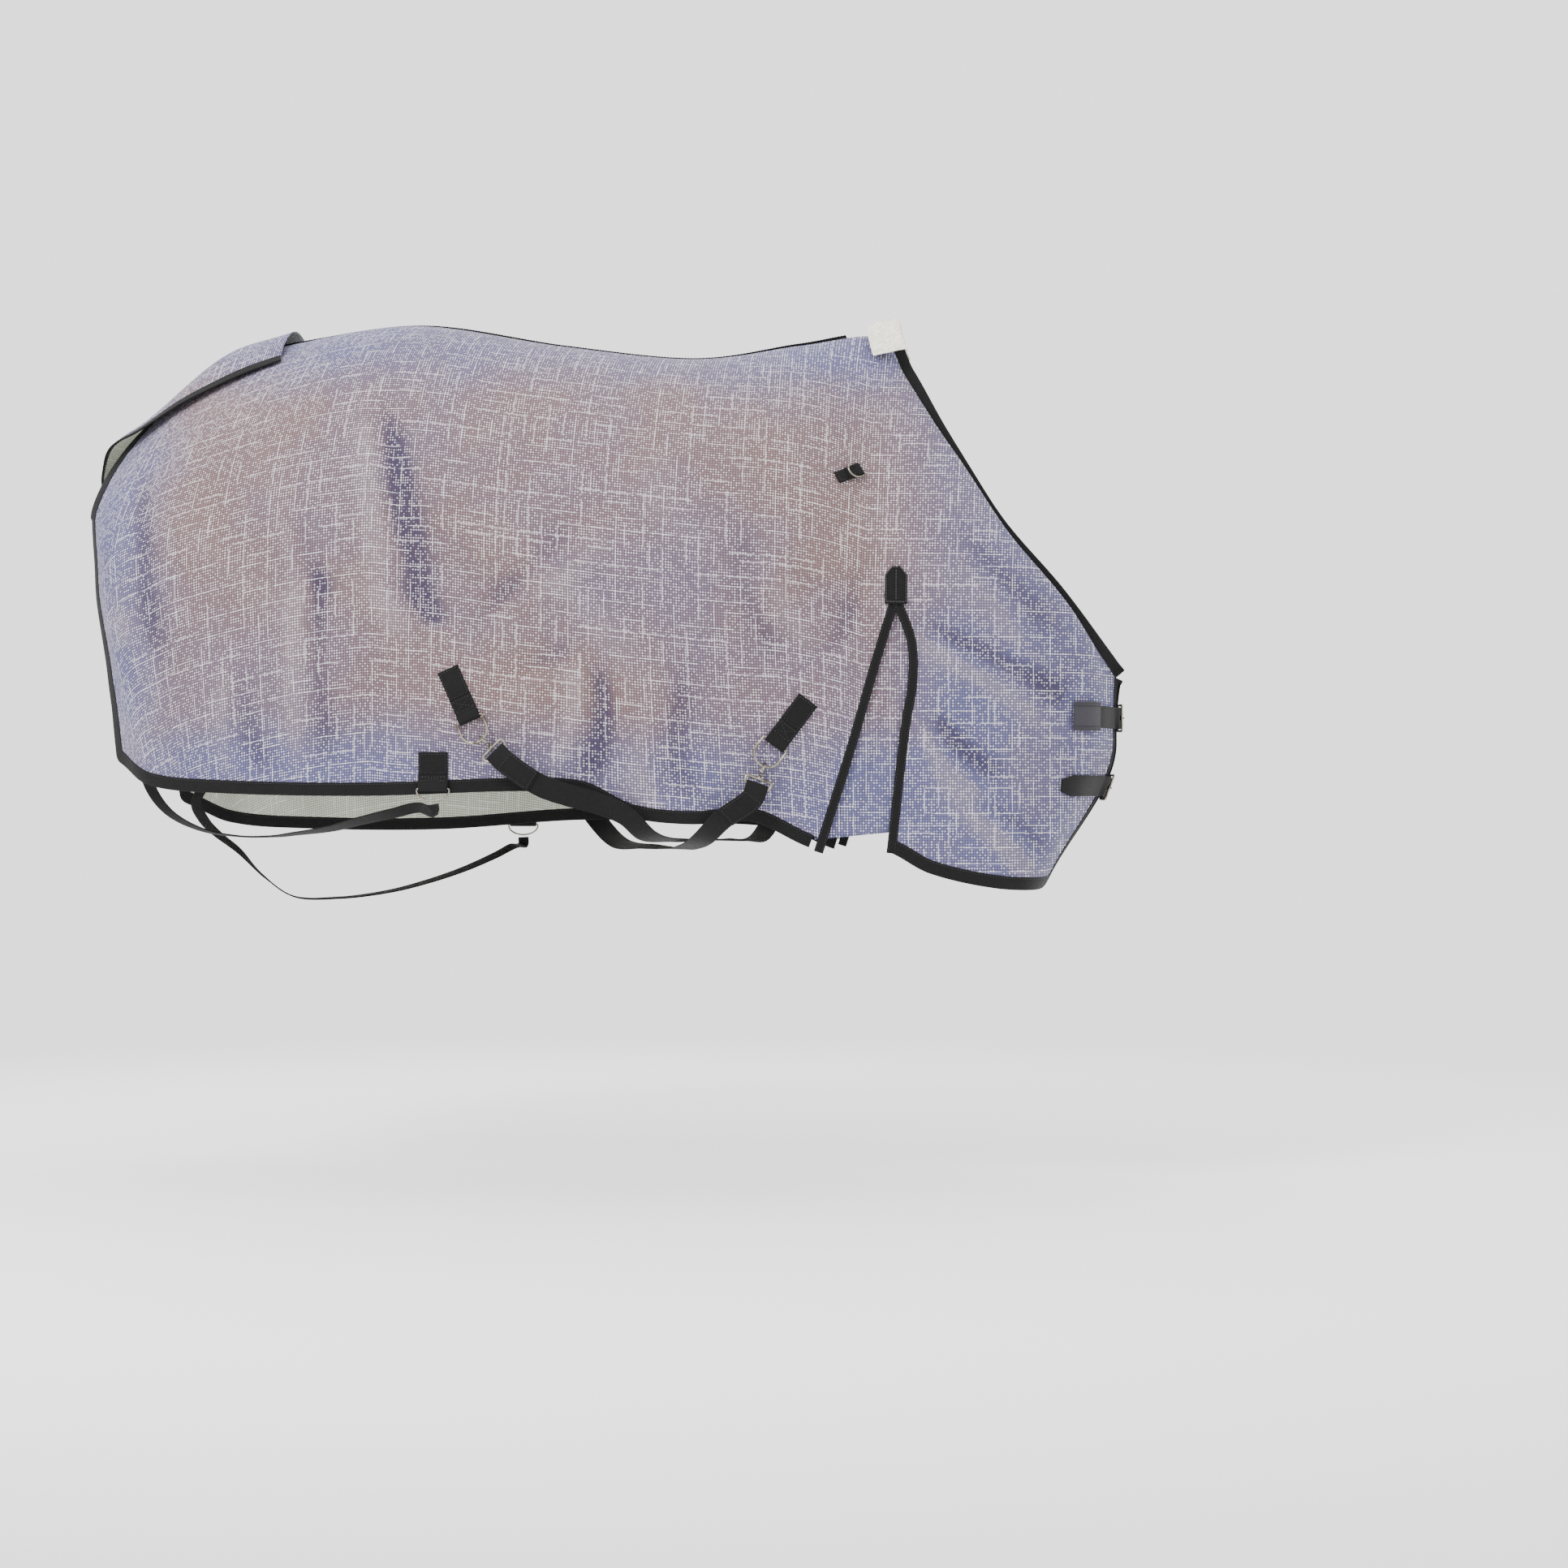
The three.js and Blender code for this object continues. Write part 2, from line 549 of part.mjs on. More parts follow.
// Lets a flat piece, placed at one spot, follow the cloth's own curve away from that spot.
const DRAPE_FROM = 10;
function drape(geometry, at, side) {
  const out = v3().setFromMatrixColumn(at, 2);
  const origin = v3().setFromMatrixPosition(at);
  const positions = geometry.getAttribute("position");
  const flat = at.clone().invert();
  for (let i = 0; i < positions.count; i += 1) {
    const q = v3().fromBufferAttribute(positions, i).applyMatrix4(at);
    const onCloth = sideFrame(side, q.x, q.z).p.y;
    const onPlane = origin.y - ((q.x - origin.x) * out.x + (q.z - origin.z) * out.z) / out.y;
    q.y += (onCloth - onPlane) * Math.min(1, Math.abs(positions.getY(i)) / DRAPE_FROM);
    positions.setXYZ(i, ...q.applyMatrix4(flat));
  }
  return geometry;
}

// A webbing tab sewn at one end, folded round the bar of a ring.
const loopRadius = (wire, thick) => wire / 2 + 0.5 + thick / 2;
function tab({ width, length, fold, wire, thick, base }) {
  const r = loopRadius(wire, thick);
  const low = base + thick / 2;
  const points = [[-length, low], [-length / 2, low], [-2.4 * r, low]];
  for (let k = 0; k <= 6; k += 1) {
    const angle = -Math.PI / 2 + (k * Math.PI) / 6;
    points.push([r * Math.cos(angle), low + r + r * Math.sin(angle)]);
  }
  const high = low + thick + 0.5;
  points.push([-2.4 * r, (low + 2 * r + high) / 2], [-4 * r, high], [-fold, high]);
  return sweep(pathInPlane(points), ribbonSection(width, thick));
}
const barHeight = (wire, thick, base) => base + thick / 2 + loopRadius(wire, thick);

// A D-ring: its bar on the x axis at y = 0, short legs, then a round bow, leaning out by tilt.
const ringLegs = (half, depth) => Math.max(depth - half, 2);
function dRing({ width, depth, wire, tilt, height }) {
  const half = width / 2 + wire;
  const legs = ringLegs(half, depth);
  const points = [-0.6, 0, 0.6].map((share) => [share * half, 0]);
  points.push([half - wire / 2, 0], [half, wire / 2]);
  for (let k = 0; k <= RING_STEPS; k += 1) {
    const angle = (k * Math.PI) / RING_STEPS;
    points.push([half * Math.cos(angle), legs + (depth - legs) * Math.sin(angle)]);
  }
  points.push([-half, wire / 2], [wire / 2 - half, 0]);
  const list = points.map(([x, y]) => v3(x, y * Math.cos(tilt), height + y * Math.sin(tilt)));
  const out = list.map(() => v3(0, -Math.sin(tilt), Math.cos(tilt)));
  return sweep(framesAlong(list, out, true), roundSection(wire, 6), true);
}

// A hook whose eye closes round a ring's bow, with a slot below it for the strap.
const EYE = { open: 130, pivot: 50 }; // degrees round the eye, where the gate's tip and pivot are
function hookLayout({ slot, wire, mouth, bow }) {
  const radius = mouth + wire / 2;
  const centre = [bow[0] + mouth - RING_WIRE / 2 - 0.7, bow[1]];
  const topBar = centre[0] + radius + wire;
  return { radius, centre, topBar, lowBar: topBar + wire + 7, half: slot / 2 + 1 + wire / 2 };
}
function hook(spec) {
  const { wire } = spec;
  const { radius, centre, topBar, lowBar, half } = hookLayout(spec);
  const arc = [];
  for (let k = 0; k <= 14; k += 1) {
    const angle = THREE.MathUtils.degToRad(EYE.open + (k * (360 + EYE.pivot - EYE.open)) / 14);
    arc.push([centre[0] + radius * Math.cos(angle), centre[1] + radius * Math.sin(angle)]);
  }
  const eye = sweep(pathInPlane(arc), roundSection(wire, 6));
  // The slot's frame, half a wire out of its middle line and half a wire in.
  const outline = (way) => {
    const x = half + (way * wire) / 2;
    const [y0, y1] = [topBar - (way * wire) / 2, lowBar + (way * wire) / 2];
    return [[-x, y0], [x, y0], [x, y1], [-x, y1]].map((q) => new THREE.Vector2(...q));
  };
  const frame = new THREE.Shape(outline(1));
  frame.holes.push(new THREE.Path(outline(-1)));
  const flat = new THREE.ExtrudeGeometry(frame, { depth: wire * 0.8, bevelEnabled: false });
  flat.translate(0, 0, centre[1] - wire * 0.4);
  const neck = new THREE.BoxGeometry(wire * 1.2, 2 * wire, wire * 0.8);
  neck.translate(0, centre[0] + radius + wire * 0.2, centre[1]);
  return join(join(eye, neck), flat);
}
// The gate fills the gap of the eye; it turns inwards about its lower end.
function gate(spec) {
  const { radius, centre } = hookLayout(spec);
  const slack = 8;
  const arc = [];
  for (let k = 0; k <= 4; k += 1) {
    const span = EYE.open - EYE.pivot - 2 * slack;
    const angle = THREE.MathUtils.degToRad(EYE.pivot + slack + (k * span) / 4);
    arc.push([centre[0] + radius * Math.cos(angle), centre[1] + radius * Math.sin(angle)]);
  }
  return sweep(pathInPlane(arc), roundSection(GATE_WIRE, 6));
}

const degrees = THREE.MathUtils.degToRad;
const RING_TILT = degrees(14);
// Where a joint turns, for whoever reads the model: each moving piece's pivot and axis.
function pivotOf(name, at, local) {
  sheetGroup.getObjectByName(name).userData.pivot = {
    at: local.clone().applyMatrix4(at).toArray(),
    axis: v3().setFromMatrixColumn(at, 0).toArray(),
  };
}
function ringOn(name, side, at, spec, ring) {
  const height = barHeight(spec.wire, spec.thick, spec.base);
  add(`${name}_tab`, drape(tab(spec), at, side), "webbing", at);
  add(`${name}_ring`, dRing({ width: spec.width, wire: spec.wire, height, ...ring }), "steel", at);
  pivotOf(`${name}_ring`, at, v3(0, 0, height));
  return height;
}
// Where a strap leaves a piece: its first two points, and the way its face looks there.
function strapEnd(at, reach, height = 0) {
  const points = [0, STRAP_LEAD].map((q) => v3(0, reach + q, height).applyMatrix4(at));
  return { points, out: v3().setFromMatrixColumn(at, 2) };
}
// A hook lies in its ring's plane, swung round the bow by turn. Gives the strap's end there.
function hookOn(name, at, spec, { height, tilt, legs, turn }) {
  const swing = new THREE.Matrix4().makeTranslation(0, 0, height)
    .multiply(new THREE.Matrix4().makeRotationX(tilt))
    .multiply(new THREE.Matrix4().makeTranslation(0, legs, 0))
    .multiply(new THREE.Matrix4().makeRotationZ(turn))
    .multiply(new THREE.Matrix4().makeTranslation(0, -legs, 0));
  const seat = at.clone().multiply(swing);
  add(`${name}_hook`, hook(spec), "steel", seat);
  add(`${name}_gate`, gate(spec), "steel", seat);
  const { radius, centre, lowBar } = hookLayout(spec);
  const pivot = degrees(EYE.pivot);
  const end = v3(0, centre[0] + radius * Math.cos(pivot), radius * Math.sin(pivot));
  pivotOf(`${name}_gate`, seat, end);
  pivotOf(`${name}_hook`, at, v3(0, 0, height));
  return strapEnd(seat, lowBar + spec.wire / 2 + 2.6);
}

// A flat strap from one end to another by way of a route, facing outwards round the belly.
const TURN_UNDER = -800; // a strap above this height faces straight out
const STRAP_TWIST = 0.12; // share of the strap over which it turns to face its fitting
function facing({ y, z }) {
  return v3(0, y, 3.5 * Math.min(0, z - gradeZ(TURN_UNDER)));
}
function strap(first, route, last, [width, thick, steps]) {
  const way = route.map((q) => grade(...q));
  const course = [...first.points, ...way, ...last.points.toReversed()];
  const line = new THREE.CatmullRomCurve3(course, false, "centripetal").getPoints(steps);
  const normals = line.map((p, k) => {
    const share = k / steps;
    const twist = (q) => THREE.MathUtils.smoothstep(q, 0.03, STRAP_TWIST);
    const n = facing(p).normalize();
    n.lerp(first.out, 1 - twist(share)).lerp(last.out, 1 - twist(1 - share));
    return n;
  });
  return sweep(framesAlong(line, normals), ribbonSection(width, thick));
}

const SURCINGLE = {
  rear: { loop: [-654, -688], lean: 24, turn: 22 },
  front: { loop: [-138, -730], lean: -37, turn: 17 },
};
const strapStart = {};
const strapAnchor = {};
for (const [spot, { loop, lean, turn }] of Object.entries(SURCINGLE)) {
  const spec = {
    width: WEBBING_WIDTH, length: TAB_LENGTH, fold: TAB_FOLD, thick: WEBBING_THICK,
    wire: RING_WIRE, base: FABRIC / 2 + 0.6,
  };
  const at = place(NEAR, loop, degrees(lean));
  const name = `near_${spot}_surcingle`;
  const height = ringOn(name, NEAR, at, spec, { depth: RING_DEPTH, tilt: RING_TILT });
  const legs = ringLegs(WEBBING_WIDTH / 2 + RING_WIRE, RING_DEPTH);
  const eye = { slot: WEBBING_WIDTH, wire: HOOK_WIRE, mouth: HOOK_MOUTH, bow: [RING_DEPTH, 0] };
  const hang = { height, tilt: RING_TILT, legs, turn: degrees(turn) };
  strapStart[spot] = hookOn(name, at, eye, hang);
  // On the far side the strap is sewn down under a patch, with no ring.
  const farAt = place(FAR, loop, degrees(lean));
  const lift = FABRIC / 2 + 0.8 + WEBBING_THICK / 2;
  const patch = pathInPlane([[-TAB_LENGTH, lift], [-TAB_LENGTH / 2, lift], [0, lift]]);
  const flat = sweep(patch, ribbonSection(WEBBING_WIDTH, WEBBING_THICK));
  add(`far_${spot}_surcingle_patch`, drape(flat, farAt, FAR), "webbing", farAt);
  strapAnchor[spot] = strapEnd(farAt, 2, lift + 1);
}

// Two straps cross under the belly, each from a near hook to the other patch on the far side.
const BELLY_STRAPS = {
  rear: [
    [-532, -345, -800], [-488, -341, -816], [-432, -334, -832], [-388, -332, -852],
    [-358, -300, -884], [-316, -150, -896], [-280, 0, -898], [-250, 150, -900],
    [-222, 290, -898], [-204, 332, -866], [-182, 340, -815],
  ],
  front: [
    [-224, -324, -856], [-262, -288, -890], [-305, -160, -908], [-350, 0, -913],
    [-410, 150, -913], [-490, 300, -908], [-530, 346, -876], [-575, 352, -815],
  ],
};
const BELLY_STEPS = 30;
for (const [spot, route] of Object.entries(BELLY_STRAPS)) {
  const other = spot === "rear" ? "front" : "rear";
  const size = [WEBBING_WIDTH, WEBBING_THICK, BELLY_STEPS];
  add(`${spot}_belly_strap`, strap(strapStart[spot], route, strapAnchor[other], size), "webbing");
}

// Leg straps: looped to a ring at the hem, snapped to a ring inside the tail edge.
const HEM_TABS = { near: [-717, -806], far: [-677, -874] };
const TAIL_TABS = { near: [-1262, -640], far: [-1262, -700] };
const LEG_ROUTES = {
  near: [
    [-745, -312, -838], [-795, -290, -848], [-865, -235, -862], [-930, -172, -876],
    [-1011, -90, -886], [-1070, -35, -892], [-1130, -28, -892], [-1190, -62, -880],
    [-1238, -118, -845], [-1262, -158, -790],
  ],
  far: [
    [-690, 296, -915], [-720, 275, -932], [-774, 232, -958], [-834, 182, -980],
    [-894, 132, -996], [-975, 80, -1006], [-1050, 42, -1002], [-1100, 22, -965],
    [-1145, 22, -920], [-1195, 60, -890], [-1238, 115, -862], [-1262, 156, -830],
  ],
};
const LEG_STEPS = 30;
const TAIL_TILT = degrees(14);
// The tilt at which a ring hangs plumb below its bar.
function plumb(at) {
  const [pull, out] = [1, 2].map((column) => v3().setFromMatrixColumn(at, column));
  return Math.atan2(-out.z, -pull.z);
}
for (const [side, name] of SIDES) {
  const hemAt = place(side, HEM_TABS[name], 0);
  const hemSpec = {
    width: HEM_TAB_WIDTH, length: HEM_TAB_LENGTH, fold: 24, thick: WEBBING_THICK,
    wire: SMALL_WIRE, base: BINDING_THICK / 2 + 1,
  };
  const hemRing = { depth: HEM_RING_DEPTH, tilt: plumb(hemAt) };
  const hemHeight = ringOn(`${name}_hem`, side, hemAt, hemSpec, hemRing);
  const tailAt = place(side, TAIL_TABS[name], 0, true);
  const tailSpec = {
    width: LEG_STRAP_WIDTH, length: 45, fold: 20, thick: LEG_STRAP_THICK,
    wire: SMALL_WIRE, base: FABRIC / 2 + 2.5,
  };
  const tailRing = { depth: TAIL_RING_DEPTH, tilt: TAIL_TILT };
  const height = ringOn(`${name}_tail`, side, tailAt, tailSpec, tailRing);
  const legs = ringLegs(LEG_STRAP_WIDTH / 2 + SMALL_WIRE, TAIL_RING_DEPTH);
  const eye = {
    slot: LEG_STRAP_WIDTH, wire: SNAP_WIRE, mouth: SNAP_MOUTH, bow: [TAIL_RING_DEPTH, 0],
  };
  const hang = { height, tilt: TAIL_TILT, legs, turn: 0 };
  const end = hookOn(`${name}_leg_strap`, tailAt, eye, hang);
  const low = HEM_RING_DEPTH + SMALL_WIRE / 2 + 1;
  const start = strapEnd(hemAt, low, hemHeight + low * Math.sin(hemRing.tilt));
  const size = [LEG_STRAP_WIDTH, LEG_STRAP_THICK, LEG_STEPS];
  add(`${name}_leg_strap`, strap(start, LEG_ROUTES[name], end, size), "webbing");
}

// A ring for a neck cover on each shoulder, fallen back over its own tab.
const SHOULDER_RING = { loop: [-4, -264], lean: 120, tilt: 165 };
for (const [side, name] of SIDES) {
  const at = place(side, SHOULDER_RING.loop, degrees(SHOULDER_RING.lean));
  const spec = {
    width: SHOULDER_TAB_WIDTH, length: SHOULDER_TAB_LENGTH, fold: 26, thick: WEBBING_THICK,
    wire: SMALL_WIRE, base: FABRIC / 2 + 0.8,
  };
  const ring = { depth: SHOULDER_RING_DEPTH, tilt: degrees(SHOULDER_RING.tilt) };
  ringOn(`${name}_shoulder`, side, at, spec, ring);
}

// ---- breast closure ----
// Frames on the breast at height z, by distance from the middle: negative on the near side.
const BREAST_SAMPLES = 40; // on each side, over the front fifth of the sheet
const BREAST_EVEN = 16;
function breastFrames(z) {
  const frameOn = (side, s) => {
    let [low, high] = [0, 1];
    for (let i = 0; i < 18; i += 1) {
      const mid = (low + high) / 2;
      if (bodyPoint(side, s, mid).z > z) low = mid;
      else high = mid;
    }
    return bodyFrame(side, s, low);
  };
  const half = (side) => Array.from({ length: BREAST_SAMPLES + 1 }, (_, k) =>
    frameOn(side, 0.8 + (0.2 * k) / BREAST_SAMPLES));
  const near = half(NEAR);
  const edge = near.at(-1);
  const ridge = edge.p.clone().addScaledVector(edge.along, -edge.p.y / edge.along.y).setY(0);
  const middle = { p: ridge, n: edge.n.clone().setY(0).normalize() };
  const list = [...near, middle, ...half(FAR).toReversed()];
  // The tilt is evened out, so that a strap lies flat across the ridge.
  const tilts = list.map(({ n }) => n.z);
  let run = 0;
  list.forEach((frame, k) => {
    const nearby = tilts.slice(Math.max(0, k - BREAST_EVEN), k + BREAST_EVEN + 1);
    const tilt = nearby.reduce((sum, q) => sum + q, 0) / nearby.length;
    frame.n = frame.n.clone().setZ(0).setLength(Math.sqrt(1 - tilt * tilt)).setZ(tilt);
    if (k) run += frame.p.distanceTo(list[k - 1].p);
    frame.run = run;
  });
  return (distance) => {
    const want = middle.run + distance;
    const after = list.findIndex((frame) => frame.run > want);
    const [a, b] = [list[after - 1], list[after]];
    const share = (want - a.run) / (b.run - a.run);
    const along = b.p.clone().sub(a.p).normalize();
    return { p: a.p.clone().lerp(b.p, share), n: a.n.clone().lerp(b.n, share).normalize(), along };
  };
}

// The strap lies flat, passes under the outer bar and over the hinge bar, then lies on the anchor.
const BUCKLE_AT = 22; // the hinge bar, this far past the middle
const BAR_WIRE = 4;
const TONGUE_WIRE = 3;
const LEVEL = { anchor: 4.4, strap: 4.6, bar: 10.2, over: 17.2, top: 9.6 }; // over the cloth
const BREAST_STRAPS = {
  upper: { z: -682, from: -206, to: 96 },
  lower: { z: -800, from: -204, to: 92 },
};
const LABEL_LENGTH = 62;
const outerBar = BUCKLE_AT - BUCKLE_DEPTH;
for (const [name, { z, from, to }] of Object.entries(BREAST_STRAPS)) {
  const frameAt = breastFrames(gradeZ(z));
  const here = frameAt(BUCKLE_AT);
  const back = here.along.clone().negate();
  back.addScaledVector(here.n, -back.dot(here.n)).normalize();
  const at = new THREE.Matrix4().makeBasis(back.clone().cross(here.n), back, here.n);
  at.setPosition(here.p);
  // A ribbon by way of [distance, height over the cloth] pairs, level where the buckle is.
  const ribbon = (list, width = WEBBING_WIDTH) => {
    const frames = list.map(([distance, height]) => {
      const { p, n, along } = frameAt(distance);
      const beyond = Math.max(outerBar - 1 - distance, distance - BUCKLE_AT - 12, 0);
      const loose = THREE.MathUtils.smoothstep(beyond, 0, 16);
      const flat = here.p.clone().addScaledVector(back, BUCKLE_AT - distance);
      n.lerpVectors(here.n, n, loose).normalize();
      const o = along.lerpVectors(here.along, along, loose).cross(n).normalize();
      return { p: flat.lerp(p, loose).addScaledVector(n, height), n, o };
    });
    frames.forEach((frame, k) => {
      const next = frames[Math.min(k + 1, frames.length - 1)].p;
      const along = next.clone().sub(frames[Math.max(k - 1, 0)].p).normalize();
      frame.n = frame.o.clone().cross(along).normalize();
    });
    return sweep(frames, ribbonSection(width, WEBBING_THICK));
  };
  const steady = (a, b, height, count) =>
    Array.from({ length: count + 1 }, (_, k) => [a + ((b - a) * k) / count, height]);
  const buckled = [
    ...steady(from, outerBar - 8, LEVEL.strap, 14),
    [outerBar, LEVEL.strap], [outerBar + 6, LEVEL.strap + 1.4], [outerBar + 13, LEVEL.bar + 0.6],
    [outerBar + 20, LEVEL.over - 1.4], [BUCKLE_AT, LEVEL.over], [BUCKLE_AT + 8, LEVEL.over - 1],
    [BUCKLE_AT + 18, LEVEL.top + 2.4], ...steady(BUCKLE_AT + 28, to, LEVEL.top, 4),
  ];
  const slot = new THREE.BoxGeometry(7, 22, 16);
  slot.translate(0, 9, LEVEL.bar + 3);
  slot.applyMatrix4(at);
  add(`${name}_breast_strap`, cut(ribbon(buckled), slot), "webbing");

  // The far side's anchor folds round the hinge bar, open in the middle for the tongue.
  const r = loopRadius(BAR_WIRE, WEBBING_THICK);
  const fold = [...steady(BUCKLE_AT + 84, BUCKLE_AT + 20, LEVEL.anchor, 5)];
  fold.push([BUCKLE_AT + 2.4 * r, LEVEL.bar - r - 0.6]);
  for (let k = 0; k <= 6; k += 1) {
    const angle = -Math.PI / 2 + (k * Math.PI) / 6;
    fold.push([BUCKLE_AT - r * Math.cos(angle), LEVEL.bar + r * Math.sin(angle)]);
  }
  fold.push([BUCKLE_AT + 1.5 * r, LEVEL.bar + r * 0.7]);
  const room = new THREE.BoxGeometry(8, 4.8 * r, 6 * r);
  room.translate(0, 0.2 * r, LEVEL.bar);
  room.applyMatrix4(at);
  add(`${name}_breast_anchor`, cut(ribbon(fold), room), "webbing");

  // The buckle's frame holds the hinge bar and the outer bar. Its tongue rests on the outer bar.
  const half = WEBBING_WIDTH / 2 + 2 + BAR_WIRE / 2;
  const corners = [[-half, 0], [half, 0], [half, BUCKLE_DEPTH], [-half, BUCKLE_DEPTH]];
  const bars = corners.map(([x, y]) => v3(x, y, LEVEL.bar));
  const wire = framesAlong(bars, bars.map(() => v3(0, 0, 1)), true);
  add(`${name}_breast_buckle`, sweep(wire, roundSection(BAR_WIRE), true), "steel", at);
  const clear = BAR_WIRE / 2 + TONGUE_WIRE / 2 + GAP;
  const tongue = [
    [clear, LEVEL.bar], [BUCKLE_DEPTH / 2, LEVEL.bar + clear / 2],
    [BUCKLE_DEPTH - 3, LEVEL.bar + clear], [BUCKLE_DEPTH + 2, LEVEL.bar + clear],
  ];
  const prong = sweep(pathInPlane(tongue), roundSection(TONGUE_WIRE, 6));
  add(`${name}_breast_tongue`, prong, "steel", at);
  pivotOf(`${name}_breast_tongue`, at, v3(0, 0, LEVEL.bar));
  if (name === "upper") {
    const plate = steady(from - 4, from + LABEL_LENGTH, LEVEL.strap + WEBBING_THICK + 0.5, 4);
    add("breast_label", ribbon(plate, LABEL_HEIGHT), "webbing");
  }
}

export default sheetGroup;
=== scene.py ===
import math

import bpy
import numpy as np
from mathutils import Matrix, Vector, noise


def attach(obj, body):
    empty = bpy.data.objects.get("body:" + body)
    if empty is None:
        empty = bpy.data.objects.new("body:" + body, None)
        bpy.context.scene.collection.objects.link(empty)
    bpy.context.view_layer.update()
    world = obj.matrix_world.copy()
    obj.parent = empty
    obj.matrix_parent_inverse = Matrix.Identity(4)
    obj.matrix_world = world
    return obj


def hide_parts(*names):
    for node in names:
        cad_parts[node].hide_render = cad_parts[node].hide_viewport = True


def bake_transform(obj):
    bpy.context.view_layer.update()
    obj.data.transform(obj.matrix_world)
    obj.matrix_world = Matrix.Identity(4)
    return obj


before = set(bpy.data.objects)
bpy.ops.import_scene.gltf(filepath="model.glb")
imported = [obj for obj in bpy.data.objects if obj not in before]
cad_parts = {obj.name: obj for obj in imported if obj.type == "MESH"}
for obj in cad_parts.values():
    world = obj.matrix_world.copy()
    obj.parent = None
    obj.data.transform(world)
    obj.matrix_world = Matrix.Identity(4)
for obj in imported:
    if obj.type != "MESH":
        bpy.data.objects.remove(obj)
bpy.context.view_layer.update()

bl_info = {
    "name": "Fly sheet",
    "version": (1, 0, 0),
    "blender": (4, 5, 0),
    "location": "3D View > Sidebar > Fly sheet",
    "description": "Dresses the packed fly sheet in mesh cloth, webbing, fleece and metal",
    "category": "Object",
}

NEAR, FAR = -1, 1
SIDES = ((NEAR, "near"), (FAR, "far"))

# ---- the worn shape, in millimetres, as the model has it ----
# Each station is the top of the sheet, the widest point of its side, the hem and the fullness.
STATIONS = np.array([
    [-1205, 0, -85, -1358, -150, -330, -1290, -205, 1.35],
    [-1130, 0, -32, -1300, -240, -400, -1225, -262, 1.4],
    [-1000, 0, -2, -1120, -300, -420, -1100, -302, 1.75],
    [-790, 0, 20, -840, -325, -430, -840, -320, 2.2],
    [-540, 0, -19, -560, -335, -450, -570, -322, 2.2],
    [-305, 0, -44, -310, -335, -470, -300, -306, 2.1],
    [-120, 0, -20, -110, -315, -480, -100, -292, 1.75],
    [18, 0, -6, 10, -294, -495, 10, -280, 1.35],
    [66, -42, -80, 110, -280, -520, 90, -270, 1.5],
    [128, -90, -192, 200, -258, -560, 165, -258, 1.8],
    [222, -135, -348, 300, -222, -610, 245, -232, 1.9],
    [335, -125, -480, 393, -150, -665, 300, -165, 1.9],
    [436, -10, -610, 432, -12, -720, 318, -16, 2],
], float)
HEMS = {
    NEAR: np.array([
        [-1290, -742], [-1225, -780], [-1100, -793], [-840, -798], [-570, -790], [-462, -796],
        [-379, -834], [-282, -846], [-173, -842], [-62, -890], [53, -893], [126, -930],
        [235, -955], [330, -960]], float),
    FAR: np.array([
        [-1290, -815], [-1225, -850], [-1100, -862], [-840, -864], [-570, -846], [-379, -850],
        [-173, -862], [-62, -904], [53, -905], [126, -935], [235, -957], [330, -960]], float),
}
SLIT = {
    "rear": np.array([[60, -492], [27, -602], [-14, -744], [-67, -913]], float),
    "front": np.array([[66, -492], [90, -560], [91, -630], [78, -713], [55, -915]], float),
}
FLAP_MID = [[-1030, 0, 12], [-1130, 0, -16], [-1215, 0, -74], [-1300, 0, -150],
            [-1352, 0, -200], [-1374, 0, -252], [-1368, 0, -325]]
FLAP_EDGE = [[-1030, 132, -48], [-1128, 138, -84], [-1208, 130, -124], [-1290, 118, -172],
             [-1346, 102, -206], [-1364, 92, -252], [-1358, 88, -320]]
WITHERS = 7 / 12  # share of the length where the two halves part at the neckline
CURVED = 0.55  # share of the drop between the top and the widest point
SEAM, GAP, FABRIC = 3.0, 0.3, 2.0
BINDING, BINDING_THICK, SLIT_BINDING, FLAP_BINDING = 20.0, 3.2, 16.0, 16.0
WEB, WEB_THICK = 38.0, 2.4
TAB_LENGTH, TAB_FOLD = 92.0, 40.0
RING_WIRE, RING_DEPTH, HOOK_WIRE, HOOK_MOUTH = 4.5, 44.0, 5.0, 9.0
GATE_WIRE, SMALL_WIRE, SNAP_WIRE, SNAP_MOUTH = 3.0, 3.0, 3.6, 6.5
LEG_WEB = 20.0
# Tabs: width, length, and the layer that comes back from the loop.
HEM_TAB, TAIL_TAB, SHOULDER_TAB = (50.0, 62.0, 24.0), (LEG_WEB, 45.0, 20.0), (22.0, 46.0, 26.0)
# Height of a tab's underside over the middle of the mesh, from what lies under it.
SURCINGLE_BASE, SHOULDER_BASE = FABRIC / 2 + 0.6, FABRIC / 2 + 0.8
HEM_BASE, TAIL_BASE = BINDING_THICK / 2 + 1, FABRIC / 2 + 2.5
PATCH_LIFT = FABRIC / 2 + 0.8 + WEB_THICK / 2  # middle of a strap's patch on the far side
GUSSET_DEPTH, GUSSET_LAP, SLIT_CLEARANCE = 6.0, 14.0, 1.0
FLAP_LIFT = 4.0
NECK_STAND = 0.8  # how far the neck binding turns up from the panel to the neck
STRAP_GAP = 2.6  # between a hook's bar and the strap's own line
TURN_FROM = 9.0  # where a strap leaves its line to go round its hook's bar
STRAP_STEPS = 320
SLOT_HALF = 3.6  # half the width of a strap's slot for a prong
HEM_RING, TAIL_RING, SHOULDER_RING = 20.0, 22.0, 24.0
BUCKLE_DEPTH, BUCKLE_AT, BAR_WIRE, TONGUE_WIRE = 26.0, 22.0, 4.0, 3.0
LEVEL = {"anchor": 4.4, "strap": 4.6, "bar": 10.2, "over": 17.2, "top": 9.6}
